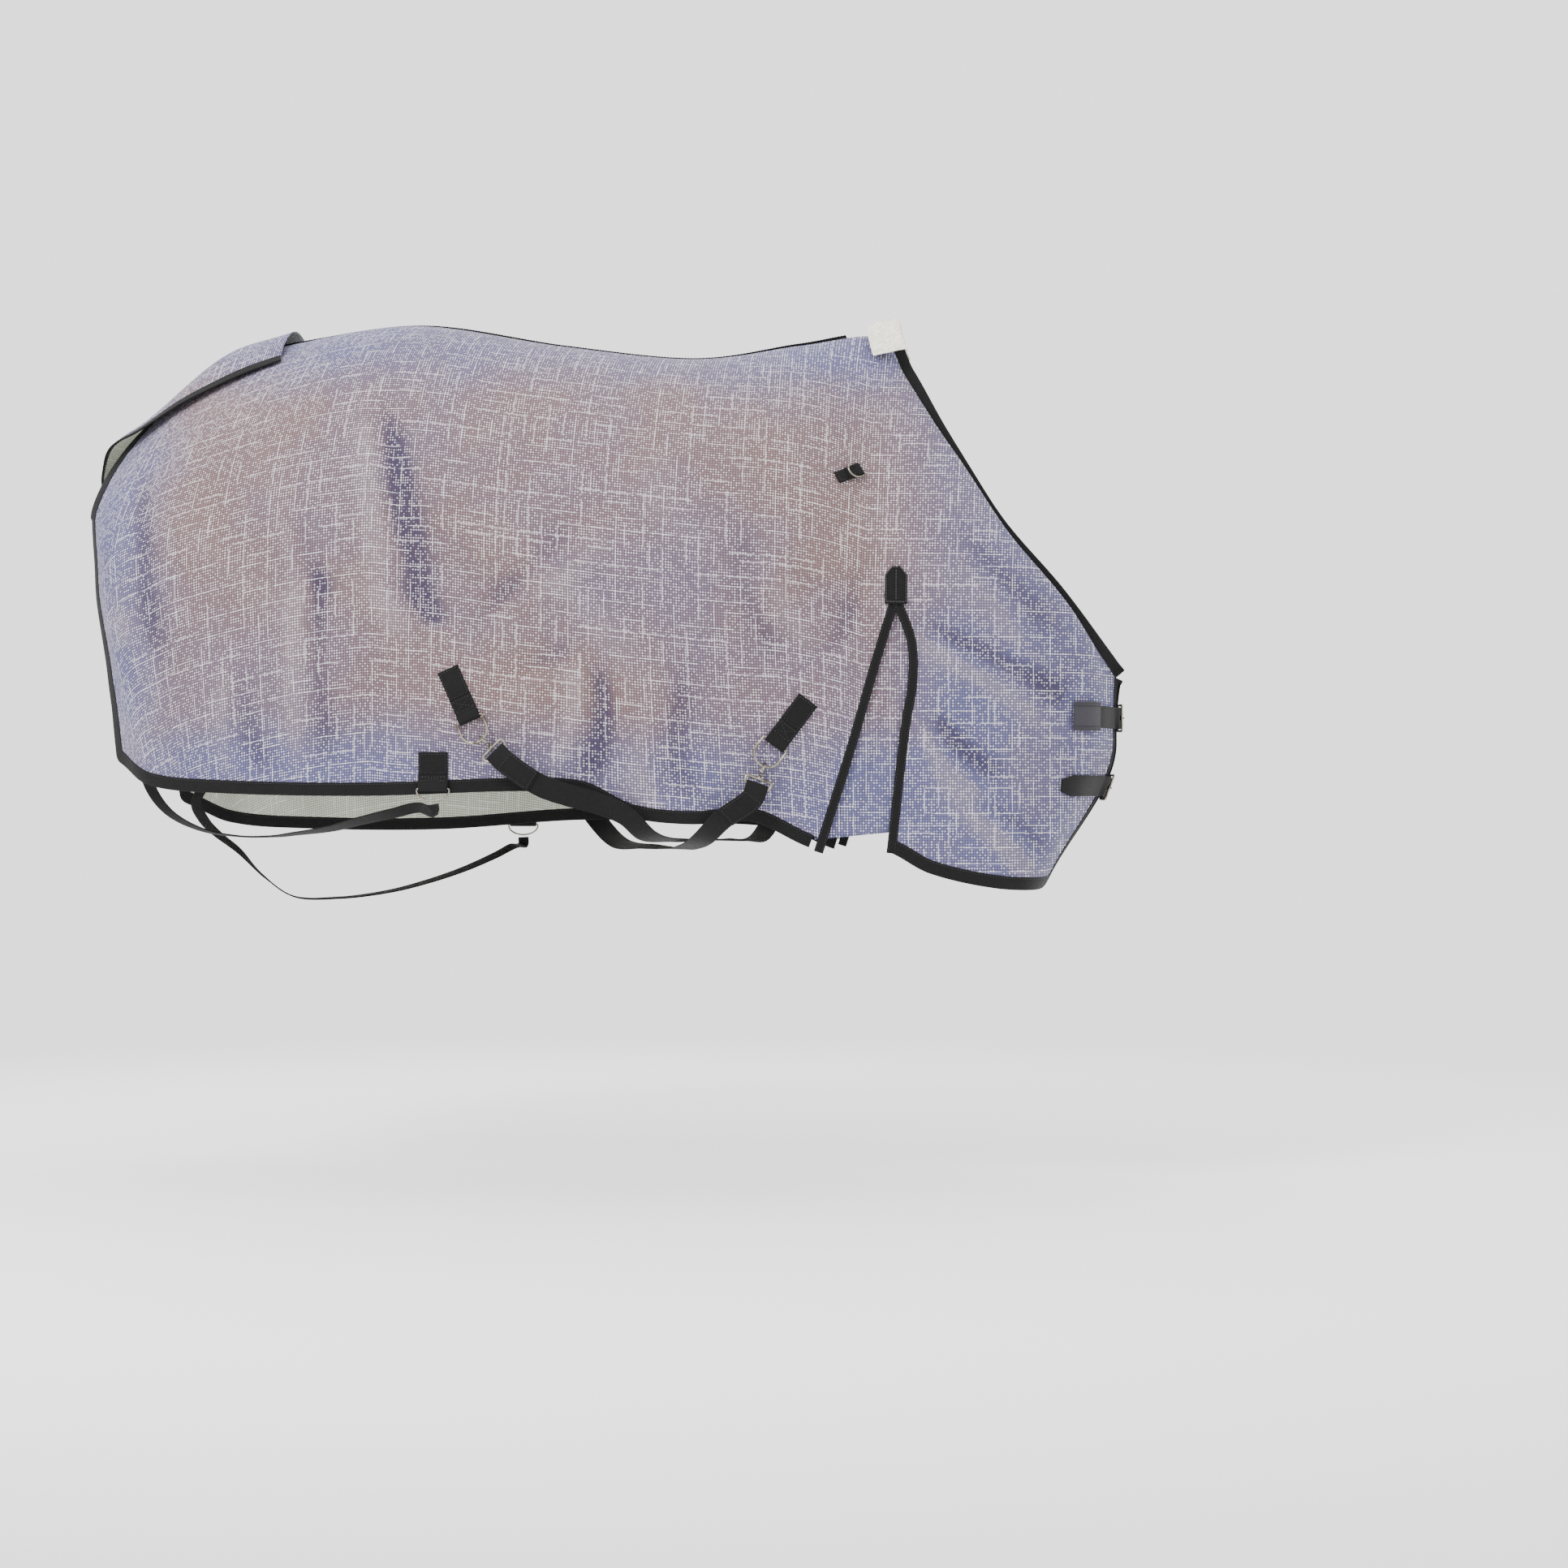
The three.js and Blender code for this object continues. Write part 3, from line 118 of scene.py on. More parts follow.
BREAST = {"upper": (-682, -206, 96), "lower": (-800, -204, 92)}
LABEL = (62.0, 50.0)
LEAD = 16.0
EYE_OPEN, EYE_PIVOT = 130.0, 50.0


def v(*q):
    return np.array(q, float)


def unit(a):
    return a / np.maximum(np.linalg.norm(a, axis=-1, keepdims=True), 1e-9)


def smooth(q, low, high):
    k = np.clip((np.asarray(q, float) - low) / (high - low), 0, 1)
    return k * k * (3 - 2 * k)


def eased(w, a, b, leave, arrive):
    """Between a and b at share w, setting out along leave and coming in along arrive."""
    return ((2 * w**3 - 3 * w**2 + 1) * a + (w**3 - 2 * w**2 + w) * leave
            + (3 * w**2 - 2 * w**3) * b + (w**3 - w**2) * arrive)


def with_ends(p):
    """The points with one more at each end, straight on from the last two."""
    return np.vstack([2 * p[0] - p[1], p, 2 * p[-1] - p[-2]])


def timed(full, q):
    """Points at shares q of a smooth line through all but the first and last of full."""
    spans = len(full) - 3
    q = np.clip(np.asarray(q, float), 0, 1) * spans
    k = np.minimum(q.astype(int), spans - 1)
    a, b, c, d = full[k], full[k + 1], full[k + 2], full[k + 3]
    return eased((q - k)[..., None], b, c, (c - a) / 2, (d - b) / 2)


def curve(points, q):
    """Points at shares q of an evenly timed smooth line through the given points."""
    return timed(with_ends(np.asarray(points, float)), q)


def centripetal(points, steps):
    """A smooth line through points, timed by the root of their distances."""
    p = np.asarray(points, float)
    full = with_ends(p)
    out = []
    for q in np.linspace(0, len(p) - 1, steps + 1):
        k = min(int(q), len(p) - 2)
        a, b, c, d = full[k:k + 4]
        t0, t1, t2 = (np.linalg.norm(y - x) ** 0.5 for x, y in ((a, b), (b, c), (c, d)))
        rise0 = ((b - a) / t0 - (c - a) / (t0 + t1) + (c - b) / t1) * t1
        rise1 = ((c - b) / t1 - (d - b) / (t1 + t2) + (d - c) / t2) * t1
        out.append(eased(q - k, b, c, rise0, rise1))
    return np.array(out)


def height_at(line, x):
    """Height of a line of x, z points at x, smooth through each point."""
    slope = np.empty(len(line))
    for i in range(len(line)):
        a, b = line[max(i - 1, 0)], line[min(i + 1, len(line) - 1)]
        slope[i] = (b[1] - a[1]) / (b[0] - a[0])
    k = np.clip(np.searchsorted(line[:, 0], x, side="left") - 1, 0, len(line) - 2)
    run = line[k + 1, 0] - line[k, 0]
    t = np.clip((x - line[k, 0]) / run, 0, 1)
    return eased(t, line[k, 1], line[k + 1, 1], run * slope[k], run * slope[k + 1])


def body_point(side, s, t):
    """A point of the worn surface: s from the tail edge to the breast, t from top to hem."""
    s, t = np.broadcast_arrays(np.clip(np.asarray(s, float), 0, 1), np.asarray(t, float))
    row = curve(STATIONS, s)
    top, wide, low, fullness = row[..., 0:3], row[..., 3:6], row[..., [6, 7, 7]], row[..., 8]
    low = low.copy()
    low[..., 2] = height_at(HEMS[side], low[..., 0])
    angle = np.clip(t / CURVED, 0, 1) * (math.pi / 2)
    across = (np.maximum(np.sin(angle), 0) ** (2 / fullness))[..., None]
    down = 1 - np.maximum(np.cos(angle), 0) ** (2 / fullness)
    upper = top + (wide - top) * across
    upper[..., 2] = top[..., 2] + (wide[..., 2] - top[..., 2]) * down
    k = (t - CURVED) / (1 - CURVED)
    ease = np.where(k < 1, k * k * (2 - k), k)[..., None]
    lower = wide + (low - wide) * ease
    lower[..., 2] = wide[..., 2] + (low[..., 2] - wide[..., 2]) * k
    p = np.where((t <= CURVED)[..., None], upper, lower)
    p[..., 1] = -side * (np.minimum(p[..., 1], 0) - SEAM / 2)
    return p


def body_frame(side, s, t):
    """The surface's point, outward normal, and its two directions at s, t."""
    s, t = np.broadcast_arrays(np.asarray(s, float), np.asarray(t, float))
    d = 0.004
    s0, s1 = np.maximum(s - d, 0), np.minimum(s + d, 1)
    t0, t1 = np.maximum(t - d, 0.002), np.minimum(t + d, 1)
    along = unit(body_point(side, s1, t) - body_point(side, s0, t))
    down = unit(body_point(side, s, t1) - body_point(side, s, t0))
    n = unit(np.cross(along, down) * side)
    return body_point(side, s, t), n, along, down


_grid_s, _grid_t = np.meshgrid(np.linspace(0, 1, 25), np.linspace(4 / 12, 1, 9), indexing="ij")
_grid = {side: body_point(side, _grid_s, _grid_t).reshape(-1, 3) for side in (NEAR, FAR)}


def side_frame(side, x, z):
    """The surface's point and outward normal where it has this x and z."""
    x, z = np.atleast_1d(np.asarray(x, float)), np.atleast_1d(np.asarray(z, float))
    miss = (_grid[side][:, 0] - x[:, None]) ** 2 + (_grid[side][:, 2] - z[:, None]) ** 2
    best = miss.argmin(axis=1)
    s, t = _grid_s.ravel()[best], _grid_t.ravel()[best]
    d = 0.002
    for _ in range(8):
        p = body_point(side, s, t)
        ps = body_point(side, np.minimum(s + d, 1), t) - body_point(side, np.maximum(s - d, 0), t)
        pt = body_point(side, s, t + d) - body_point(side, s, t - d)
        det = (ps[:, 0] * pt[:, 2] - pt[:, 0] * ps[:, 2]) / (2 * d)
        ex, ez = x - p[:, 0], z - p[:, 2]
        s = np.clip(s + (ex * pt[:, 2] - ez * pt[:, 0]) / det, 0, 1)
        t = np.clip(t + (ez * ps[:, 0] - ex * ps[:, 2]) / det, 0.05, 1.1)
    n = body_frame(side, s, np.minimum(t, 0.995))[1]
    return body_point(side, s, t), n


# ---- folds and fittings ----
# Each fold is a line from x, z to x, z, with its depth and half width.
FOLDS = {
    NEAR: [
        (-822, -150, -706, -540, 13, 24), (-960, -352, -896, -480, 6, 17),
        (-908, -410, -914, -790, 8, 20), (-434, -590, -440, -800, 12, 24),
        (105, -512, 372, -676, 9, 20), (122, -676, 244, -800, 9, 20),
        (-1262, -250, -1196, -620, 6, 22), (-640, -540, -470, -330, 5, 22),
        (-700, -540, -820, -420, 4, 18), (-60, -600, 20, -420, 4, 20),
        (-120, -600, -220, -380, 5, 24), (-590, -620, -470, -560, 4, 16),
        (180, -360, 330, -560, 5, 20), (-1060, -600, -1010, -790, 6, 22),
        (-300, -600, -290, -840, 6, 26), (200, -820, 330, -930, 6, 18),
    ],
    FAR: [
        (-800, -190, -720, -560, 10, 24), (-960, -380, -900, -560, 6, 20),
        (-900, -520, -910, -850, 8, 22), (-440, -610, -452, -840, 10, 24),
        (110, -530, 360, -690, 8, 20), (126, -690, 250, -820, 8, 20),
        (-1250, -300, -1190, -680, 6, 22), (-630, -560, -480, -360, 5, 22),
        (-130, -600, -220, -400, 5, 24), (-1060, -640, -1010, -850, 6, 22),
        (-290, -620, -280, -850, 6, 26),
    ],
}
# Places where the cloth lies still under its fittings: x, z, radius.
STILL = {
    NEAR: [(-672, -640, 62), (-700, -575, 40), (-110, -670, 62), (-76, -622, 40),
           (-716, -778, 46), (-1262, -620, 52), (-4, -272, 40), (430, -690, 75), (400, -800, 75)],
    FAR: [(-672, -640, 62), (-700, -575, 40), (-110, -670, 62), (-76, -622, 40),
          (-676, -846, 46), (-1262, -680, 52), (-4, -272, 40), (430, -690, 75), (400, -800, 75)],
}


def swell(side, p):
    """How far the cloth stands off its smooth shape at p, in millimetres."""
    x, z = p[..., 0], p[..., 2]
    q = np.zeros(x.shape)
    for x0, z0, x1, z1, depth, width in FOLDS[side]:
        run = math.hypot(x1 - x0, z1 - z0)
        ux, uz = (x1 - x0) / run, (z1 - z0) / run
        along = ((x - x0) * ux + (z - z0) * uz) / run
        bend = 0.35 * width * np.sin(5 * along + x0)
        off = (x - x0) * uz - (z - z0) * ux + bend
        spread = width * (0.9 + 0.5 * smooth(along, 0, 1))
        taper = smooth(along, -0.12, 0.25) * smooth(1 - along, -0.12, 0.25)
        valley = np.exp(-(off / spread) ** 2)
        rise = np.exp(-((off - 1.8 * spread) / spread) ** 2)
        q += taper * depth * (0.45 * rise - 0.85 * valley)
    drift = 1.5 * np.sin(x / 61 + 1.3 * np.sin(z / 83 + side)) * np.sin(z / 97 + x / 190)
    drift += 0.9 * np.sin(x / 27 + z / 45 + 2 * np.sin(z / 70))
    q += drift * smooth(-z, 90, 330)
    still = np.ones(x.shape)
    for x0, z0, radius in STILL[side]:
        still *= smooth(np.hypot(x - x0, z - z0), radius * 0.75, radius * 1.5)
    middle = smooth(np.abs(p[..., 1]), 12, 70)
    return np.clip(q, -11, 7) * still * middle


def swelled(side, p, n):
    return p + n * swell(side, p)[..., None]


def cloth(side, s, t):
    """The draped surface at s, t, folds and all."""
    p, n, along, down = body_frame(side, s, t)
    return swelled(side, p, n), n, along, down


def on_side(side, x, z):
    p, n = side_frame(side, x, z)
    return swelled(side, p, n), n


# ---- building meshes ----
class Part:
    """Collects the points, faces, finishes and cloth coordinates of one piece."""

    def __init__(self):
        self.points, self.faces, self.finish, self.spots = [], [], [], []
        self.count = 0

    def add(self, points, faces, finish=0, spots=None):
        points = np.asarray(points, float).reshape(-1, 3)
        if spots is None:
            spots = np.zeros((len(points), 2))
        self.faces += [tuple(i + self.count for i in face) for face in faces]
        self.finish += [finish] * len(faces)
        self.points.append(points)
        self.spots.append(np.asarray(spots, float).reshape(-1, 2))
        self.count += len(points)


def shares(nu, nv):
    """The two shares, from 0 to 1, of each point of a grid of nu by nv cells."""
    return np.meshgrid(np.linspace(0, 1, nu + 1), np.linspace(0, 1, nv + 1), indexing="ij")


def paving(nu, nv, keep=None, turned=False):
    """Faces of a grid of nu by nv cells, turned over if wanted."""
    i, j = np.meshgrid(np.arange(nu), np.arange(nv), indexing="ij")
    if keep is not None:
        i, j = i[keep], j[keep]
    a = (i * (nv + 1) + j).ravel()
    faces = np.stack([a, a + nv + 1, a + nv + 2, a + 1], axis=1)
    return (faces[:, ::-1] if turned else faces).tolist()


def distances(path):
    return np.concatenate([[0], np.cumsum(np.linalg.norm(np.diff(path, axis=0), axis=1))])


def headings(points, closed=False):
    """The way a path runs at each of its points."""
    before, after = np.roll(points, 1, axis=0), np.roll(points, -1, axis=0)
    if not closed:
        before[0], after[-1] = points[0], points[-1]
    return unit(after - before)


def spread_on(run, values, q):
    """Rows of values, known at each run, at the distances q."""
    return np.stack([np.interp(q, run, values[:, i]) for i in range(3)], axis=1)


def framed(points, normals, closed=False):
    """Frames along a path: its points, the way across, and the way out."""
    along = headings(points, closed)
    n = unit(normals - along * (normals * along).sum(axis=1, keepdims=True))
    return points, np.cross(along, n), n


def refine(frames, gap=4.0):
    """The same frames, sampled every few millimetres on a smooth line."""
    p, o, n = (np.asarray(a, float) for a in frames)
    run = distances(p)
    q = np.linspace(0, 1, max(int(run[-1] / gap), 2) + 1)
    share = np.interp(q * run[-1], run, np.linspace(0, 1, len(p)))
    return curve(p, share), unit(curve(o, share)), unit(curve(n, share))


def flat_section(low, high, thick, puff=0.0):
    """A flat band's outline with rounded edges, from low to high across."""
    r = thick / 2
    out = []
    for k in range(7):
        a = math.pi / 2 - k * math.pi / 6
        out.append((high - r + r * math.cos(a), r * math.sin(a)))
    for k in range(1, 8):
        a = low + r + (high - low - 2 * r) * (1 - k / 8)
        out.append((a, -r - puff * math.sin(math.pi * k / 8)))
    for k in range(7):
        a = -math.pi / 2 - k * math.pi / 6
        out.append((low + r + r * math.cos(a), r * math.sin(a)))
    for k in range(1, 8):
        a = low + r + (high - low - 2 * r) * k / 8
        out.append((a, r + puff * math.sin(math.pi * k / 8)))
    return np.array(out)


def round_section(wire, sides=14):
    a = np.arange(sides) * 2 * math.pi / sides
    return np.stack([np.cos(a), np.sin(a)], axis=1) * wire / 2


def sweep(part, frames, section, closed=False, finish=0, taper=None):
    """A section carried along frames, with its ends closed."""
    p, o, n = frames
    m, count = len(section), len(p)
    size = np.ones(count) if taper is None else taper
    points = (p[:, None] + o[:, None] * (section[:, 0] * size[:, None])[..., None]
              + n[:, None] * (section[:, 1] * size[:, None])[..., None])
    run = distances(p)
    spots = np.stack(np.broadcast_arrays(run[:, None], section[None, :, 0]), axis=2) / 1000
    k = np.arange(count if closed else count - 1)
    here, there = k * m, ((k + 1) % count) * m
    i = np.arange(m)
    j = (i + 1) % m
    quads = np.stack([here[:, None] + i, here[:, None] + j, there[:, None] + j,
                      there[:, None] + i], axis=2).reshape(-1, 4)
    faces = quads[:, ::-1].tolist()
    if not closed:
        faces.append(list(range(m)))
        faces.append(list(range((count - 1) * m, count * m))[::-1])
    part.add(points, faces, finish, spots)


def stitches(part, frames, finish=1, length=3.4, gap=1.9, wide=0.8, high=0.75):
    """Raised stitches along frames whose n points out of the cloth."""
    p, o, n = frames
    run = distances(p)
    starts = np.arange(gap / 2, run[-1] - length, length + gap)
    if not len(starts):
        return
    ends = [spread_on(run, p, starts), spread_on(run, p, starts + length)]
    across, out = (unit(spread_on(run, a, starts + length / 2)) for a in (o, n))
    corners = []
    for end, way in zip(ends, (1, -1)):
        step = unit(ends[1] - ends[0]) * way * length * 0.16
        for a, b, inset in ((-0.5, -0.35, 0), (0.5, -0.35, 0), (0.32, 0.5, 1), (-0.32, 0.5, 1)):
            corners.append(end + across * a * wide + out * (b * high + high * 0.3) + step * inset)
    points = np.stack(corners, axis=1)
    box = np.array([[0, 1, 2, 3], [5, 4, 7, 6], [0, 4, 5, 1], [1, 5, 6, 2], [2, 6, 7, 3],
                    [3, 7, 4, 0]])[:, ::-1]
    faces = (np.arange(len(starts))[:, None, None] * 8 + box).reshape(-1, 4).tolist()
    part.add(points, faces, finish)


def seam(part, frames, across, height, **spec):
    """A row of stitches at a distance across and a height over a band's middle."""
    p, o, n = frames
    stitches(part, (p + o * across + n * height, o, n), **spec)


def make(name, part, finishes, body, nodes, sharp=50):
    """Turns a collected part into a piece that rides on a body and stands for its nodes."""
    mesh = bpy.data.meshes.new(name)
    mesh.from_pydata((np.vstack(part.points) / 1000).tolist(), [], part.faces)
    layer = mesh.uv_layers.new(name="cloth")
    corner = np.empty(len(mesh.loops), int)
    mesh.loops.foreach_get("vertex_index", corner)
    layer.data.foreach_set("uv", np.vstack(part.spots)[corner].ravel())
    for finish in finishes:
        mesh.materials.append(bpy.data.materials[finish])
    mesh.polygons.foreach_set("material_index", part.finish)
    mesh.shade_smooth()
    mesh.set_sharp_from_angle(angle=math.radians(sharp))
    mesh.update()
    obj = bpy.data.objects.new(name, mesh)
    bpy.context.scene.collection.objects.link(obj)
    if body:
        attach(obj, body)
    if nodes:
        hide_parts(*nodes)
    return obj


def sewn(name, part, node):
    """A piece of close webbing that is stitched to the sheet."""
    return make(name, part, ["close webbing", "thread"], "sheet", [node])


def metal(name, part, body, node):
    return make(name, part, ["nickel"], body, [node], sharp=60)


def thickened(obj, thickness):
    solid = obj.modifiers.new("Thickness", "SOLIDIFY")
    solid.thickness, solid.offset = thickness, 0.0
    return solid


# ---- webbing tabs, rings and hooks: x across, y down the pull, z out ----
def place(side, spot, lean, inside=False):
    """Where a fitting sits: at spot on the cloth, leaning from plumb by lean degrees."""
    p, n = side_frame(side, *spot)
    p, n = p[0], -n[0] if inside else n[0]
    lean = math.radians(lean)
    pull = v(math.sin(lean), 0, -math.cos(lean))
    pull = unit(pull - n * pull.dot(n))
    at = np.eye(4)
    at[:3, 0], at[:3, 1], at[:3, 2], at[:3, 3] = np.cross(pull, n), pull, n, p
    return at


def moved(at, points):
    return points @ at[:3, :3].T + at[:3, 3]


def seated(at, frames):
    p, o, n = frames
    return moved(at, p), o @ at[:3, :3].T, n @ at[:3, :3].T


def in_plane(points):
    """Frames along y, z points of a fitting's middle plane."""
    p = np.array([[0, y, z] for y, z in points], float)
    o = np.tile(v(1, 0, 0), (len(p), 1))
    return p, o, -np.cross(o, headings(p))


def drape(at, side, part):
    """Lets a tab follow the cloth's own curve away from its loop."""
    origin, out = at[:3, 3], at[:3, 2]
    flat = np.linalg.inv(at)
    for q in part.points:
        local = moved(flat, q)
        cloth_y = side_frame(side, q[:, 0], q[:, 2])[0][:, 1]
        lean = (q[:, 0] - origin[0]) * out[0] + (q[:, 2] - origin[2]) * out[2]
        plane_y = origin[1] - lean / out[1]
        q[:, 1] += (cloth_y - plane_y) * np.minimum(1, np.abs(local[:, 1]) / 10)


def loop_radius(wire, thick):
    return wire / 2 + 0.5 + thick / 2


def tab_line(length, fold, wire, thick, base):
    r = loop_radius(wire, thick)
    low = base + thick / 2
    high = low + thick + 0.5
    points = [[-length, low], [-length / 2, low], [-2.4 * r, low]]
    for k in range(13):
        a = -math.pi / 2 + k * math.pi / 12
        points.append([r * math.cos(a), low + r + r * math.sin(a)])
    points += [[-2.4 * r, (low + 2 * r + high) / 2], [-4 * r, high], [-fold, high]]
    return points


def box_seam(part, at, width, y0, y1, height, cross=False):
    """A stitched rectangle, with a cross if wanted, on a fitting's face."""
    w = width / 2 - 3
    lines = [((-w, y0), (w, y0)), ((w, y0), (w, y1)), ((w, y1), (-w, y1)), ((-w, y1), (-w, y0))]
    if cross:
        lines += [((-w, y0), (w, y1)), ((-w, y1), (w, y0))]
    for a, b in lines:
        q = np.linspace(0, 1, 8)[:, None]
        p = v(*a, height) + (v(*b, height) - v(*a, height)) * q
        frames = framed(p, np.tile(v(0, 0, 1), (len(p), 1)))
        stitches(part, seated(at, frames), wide=1.0, high=0.9)


def sew_tab(name, side, at, width, length, fold, wire, base):
    """A webbing tab folded round a ring's bar and sewn down."""
    part = Part()
    line = refine(in_plane(tab_line(length, fold, wire, WEB_THICK, base)), 2.5)
    sweep(part, seated(at, line), flat_section(-width / 2, width / 2, WEB_THICK, 0.15))
    top = base + WEB_THICK + 0.2
    r = loop_radius(wire, WEB_THICK)
    box_seam(part, at, width, -length + 3.5, -fold - 3, top)
    box_seam(part, at, width, -fold + 3.5, -4.2 * r, top + WEB_THICK + 0.5, cross=True)
    drape(at, side, part)
    sewn(f"{name}_webbing", part, f"{name}_tab")


def bar_height(wire, base):
    return base + WEB_THICK / 2 + loop_radius(wire, WEB_THICK)


def ring_legs(half, depth):
    return max(depth - half, 2)


def ring(name, at, width, depth, wire, tilt, height, body, node):
    half = width / 2 + wire
    legs = ring_legs(half, depth)
    bend = wire * 0.9
    xy = [[share * (half - bend), 0] for share in np.linspace(-1, 1, 9)]
    for k in range(1, 6):
        a = -math.pi / 2 + k * math.pi / 12
        xy.append([half - bend + bend * math.cos(a), bend + bend * math.sin(a)])
    for k in range(41):
        a = k * math.pi / 40
        xy.append([half * math.cos(a), max(legs, bend) + (depth - max(legs, bend)) * math.sin(a)])
    for k in range(1, 6):
        a = math.pi + k * math.pi / 12
        xy.append([bend - half + bend * math.cos(a), bend + bend * math.sin(a)])
    c, s = math.cos(tilt), math.sin(tilt)
    p = np.array([[x, y * c, height + y * s] for x, y in xy])
    part = Part()
    frames = framed(p, np.tile(v(0, -s, c), (len(p), 1)), closed=True)
    sweep(part, seated(at, frames), round_section(wire), closed=True)
    metal(name, part, body, node)


def hook_layout(slot, wire, mouth, bow):
    radius = mouth + wire / 2
    centre = bow + mouth - RING_WIRE / 2 - 0.7
    top = centre + radius + wire
    return radius, centre, top, top + wire + 7, slot / 2 + 1 + wire / 2


def rotation(axis, angle):
    c, s = math.cos(angle), math.sin(angle)
    m = np.eye(4)
    i, j = {"x": (1, 2), "z": (0, 1)}[axis]
    m[i, i], m[i, j], m[j, i], m[j, j] = c, -s, s, c
    return m


def shift(x, y, z):
    m = np.eye(4)
    m[:3, 3] = (x, y, z)
    return m


def seat_of(at, height, tilt, legs, turn):
    return (at @ shift(0, 0, height) @ rotation("x", tilt) @ shift(0, legs, 0)
            @ rotation("z", turn) @ shift(0, -legs, 0))


def rounded_box(half, far, near, bend, z, gap):
    """Frames round a box with rounded corners, from near to far in y."""
    corners = []
    for k, (x, y, way) in enumerate(((half, far, -1), (-half, far, -1), (-half, near, 1),
                                     (half, near, 1))):
        cx, cy = x - math.copysign(bend, x), y + way * bend
        for a in (k + np.arange(7) / 6) * math.pi / 2:
            corners.append(v(cx + bend * math.cos(a), cy + bend * math.sin(a), z))
    p = []
    for q, after in zip(corners, corners[1:] + corners[:1]):
        count = max(int(math.dist(q, after) / gap), 1)
        p += [q + (after - q) * k / count for k in range(count)]
    return framed(np.array(p), np.tile(v(0, 0, 1), (len(p), 1)), closed=True)


def hook(name, gate_name, seat, slot, wire, mouth, bow, bodies, nodes):
    """A snap: an eye round the ring, a square slot for the strap, and a sprung gate."""
    radius, centre, top, low, half = hook_layout(slot, wire, mouth, bow)
    part = Part()
    a = np.radians(np.linspace(EYE_OPEN, 360 + EYE_PIVOT, 49))
    eye = in_plane(np.stack([centre + radius * np.cos(a), radius * np.sin(a)], axis=1))
    sweep(part, seated(seat, eye), round_section(wire))
    neck = in_plane([[centre + radius - wire * 0.3, 0], [centre + radius + wire * 0.3, 0],
                     [top - wire * 0.1, 0]])
    sweep(part, seated(seat, neck), round_section(wire * 1.35), taper=np.array([0.9, 1.0, 1.15]))
    knob = in_plane([[top - wire * 0.5, 0], [top - wire * 0.2, 0], [top + wire * 0.3, 0]])
    sweep(part, seated(seat, knob), round_section(wire * 1.9), taper=np.array([0.75, 1.0, 0.8]))
    loop = rounded_box(half, low, top, wire * 0.8, 0, 3)
    sweep(part, seated(seat, loop), round_section(wire) * v(1, 0.85), closed=True)
    metal(name, part, bodies[0], nodes[0])
    part = Part()
    a = np.radians(np.linspace(EYE_PIVOT + 8, EYE_OPEN - 8, 17))
    arc = in_plane(np.stack([centre + radius * np.cos(a), radius * np.sin(a)], axis=1))
    sweep(part, seated(seat, arc), round_section(GATE_WIRE))
    thumb = radius + GATE_WIRE * 0.7
    bump = in_plane([[centre + thumb * math.cos(q), thumb * math.sin(q)]
                     for q in np.radians([98, 104, 110])])
    sweep(part, seated(seat, bump), round_section(2.4), taper=np.array([0.6, 1, 0.6]))
    metal(gate_name, part, bodies[1], nodes[1])


def strap_end(at, reach, height=0.0):
    points = moved(at, np.array([[0, reach, height], [0, reach + LEAD, height]]))
    return points, at[:3, 2]


def strap_line(first, route, last):
    """A strap's frames: evenly close points, facing outwards round the belly."""
    course = np.vstack([first[0], np.array(route, float), last[0][::-1]])
    line = centripetal(course, STRAP_STEPS)
    share = np.linspace(0, 1, STRAP_STEPS + 1)
    belly = 3.5 * np.minimum(0, line[:, 2] + 800)
    n = unit(np.stack([np.zeros(len(line)), line[:, 1], belly], axis=1))
    for q, end in ((share, first[1]), (1 - share, last[1])):
        w = (1 - smooth(q, 0.03, 0.12))[:, None]
        n = n + (end - n) * w
    return framed(line, n)


def wrapped(seat, bar, radius, frames, back):
    """Frames of a strap that starts on itself, comes back round a bar and then runs on."""
    p, o, n = frames
    run = distances(p)
    turned = np.linspace(back, TURN_FROM, int(back / 2.5))
    over = spread_on(run, p, turned) + spread_on(run, n, turned) * (WEB_THICK + 0.5)
    a = np.radians(np.linspace(80, 280, 13))
    arc = np.stack([np.zeros(13), bar + radius * np.cos(a), radius * np.sin(a)], axis=1)
    arc = moved(seat, arc)
    if (arc[0] - arc[-1]).dot(n[0]) <= 0:
        arc = arc[::-1]
    rest = np.arange(TURN_FROM, run[-1], 4.0)
    line = np.vstack([over, arc, spread_on(run, p, rest)])
    across = np.vstack([spread_on(run, o, turned), np.tile(o[0], (13, 1)),
                        spread_on(run, o, rest)])
    along = unit(np.gradient(line, axis=0))
    across = unit(across - along * (across * along).sum(axis=1, keepdims=True))
    return line, across, np.cross(across, along)


# ---- finishes ----
def linear(r, g, b):
    """A colour given in everyday 0 to 255 numbers, as light."""
    def one(c):
        c /= 255
        return c / 12.92 if c <= 0.04045 else ((c + 0.055) / 1.055) ** 2.4
    return (one(r), one(g), one(b), 1.0)


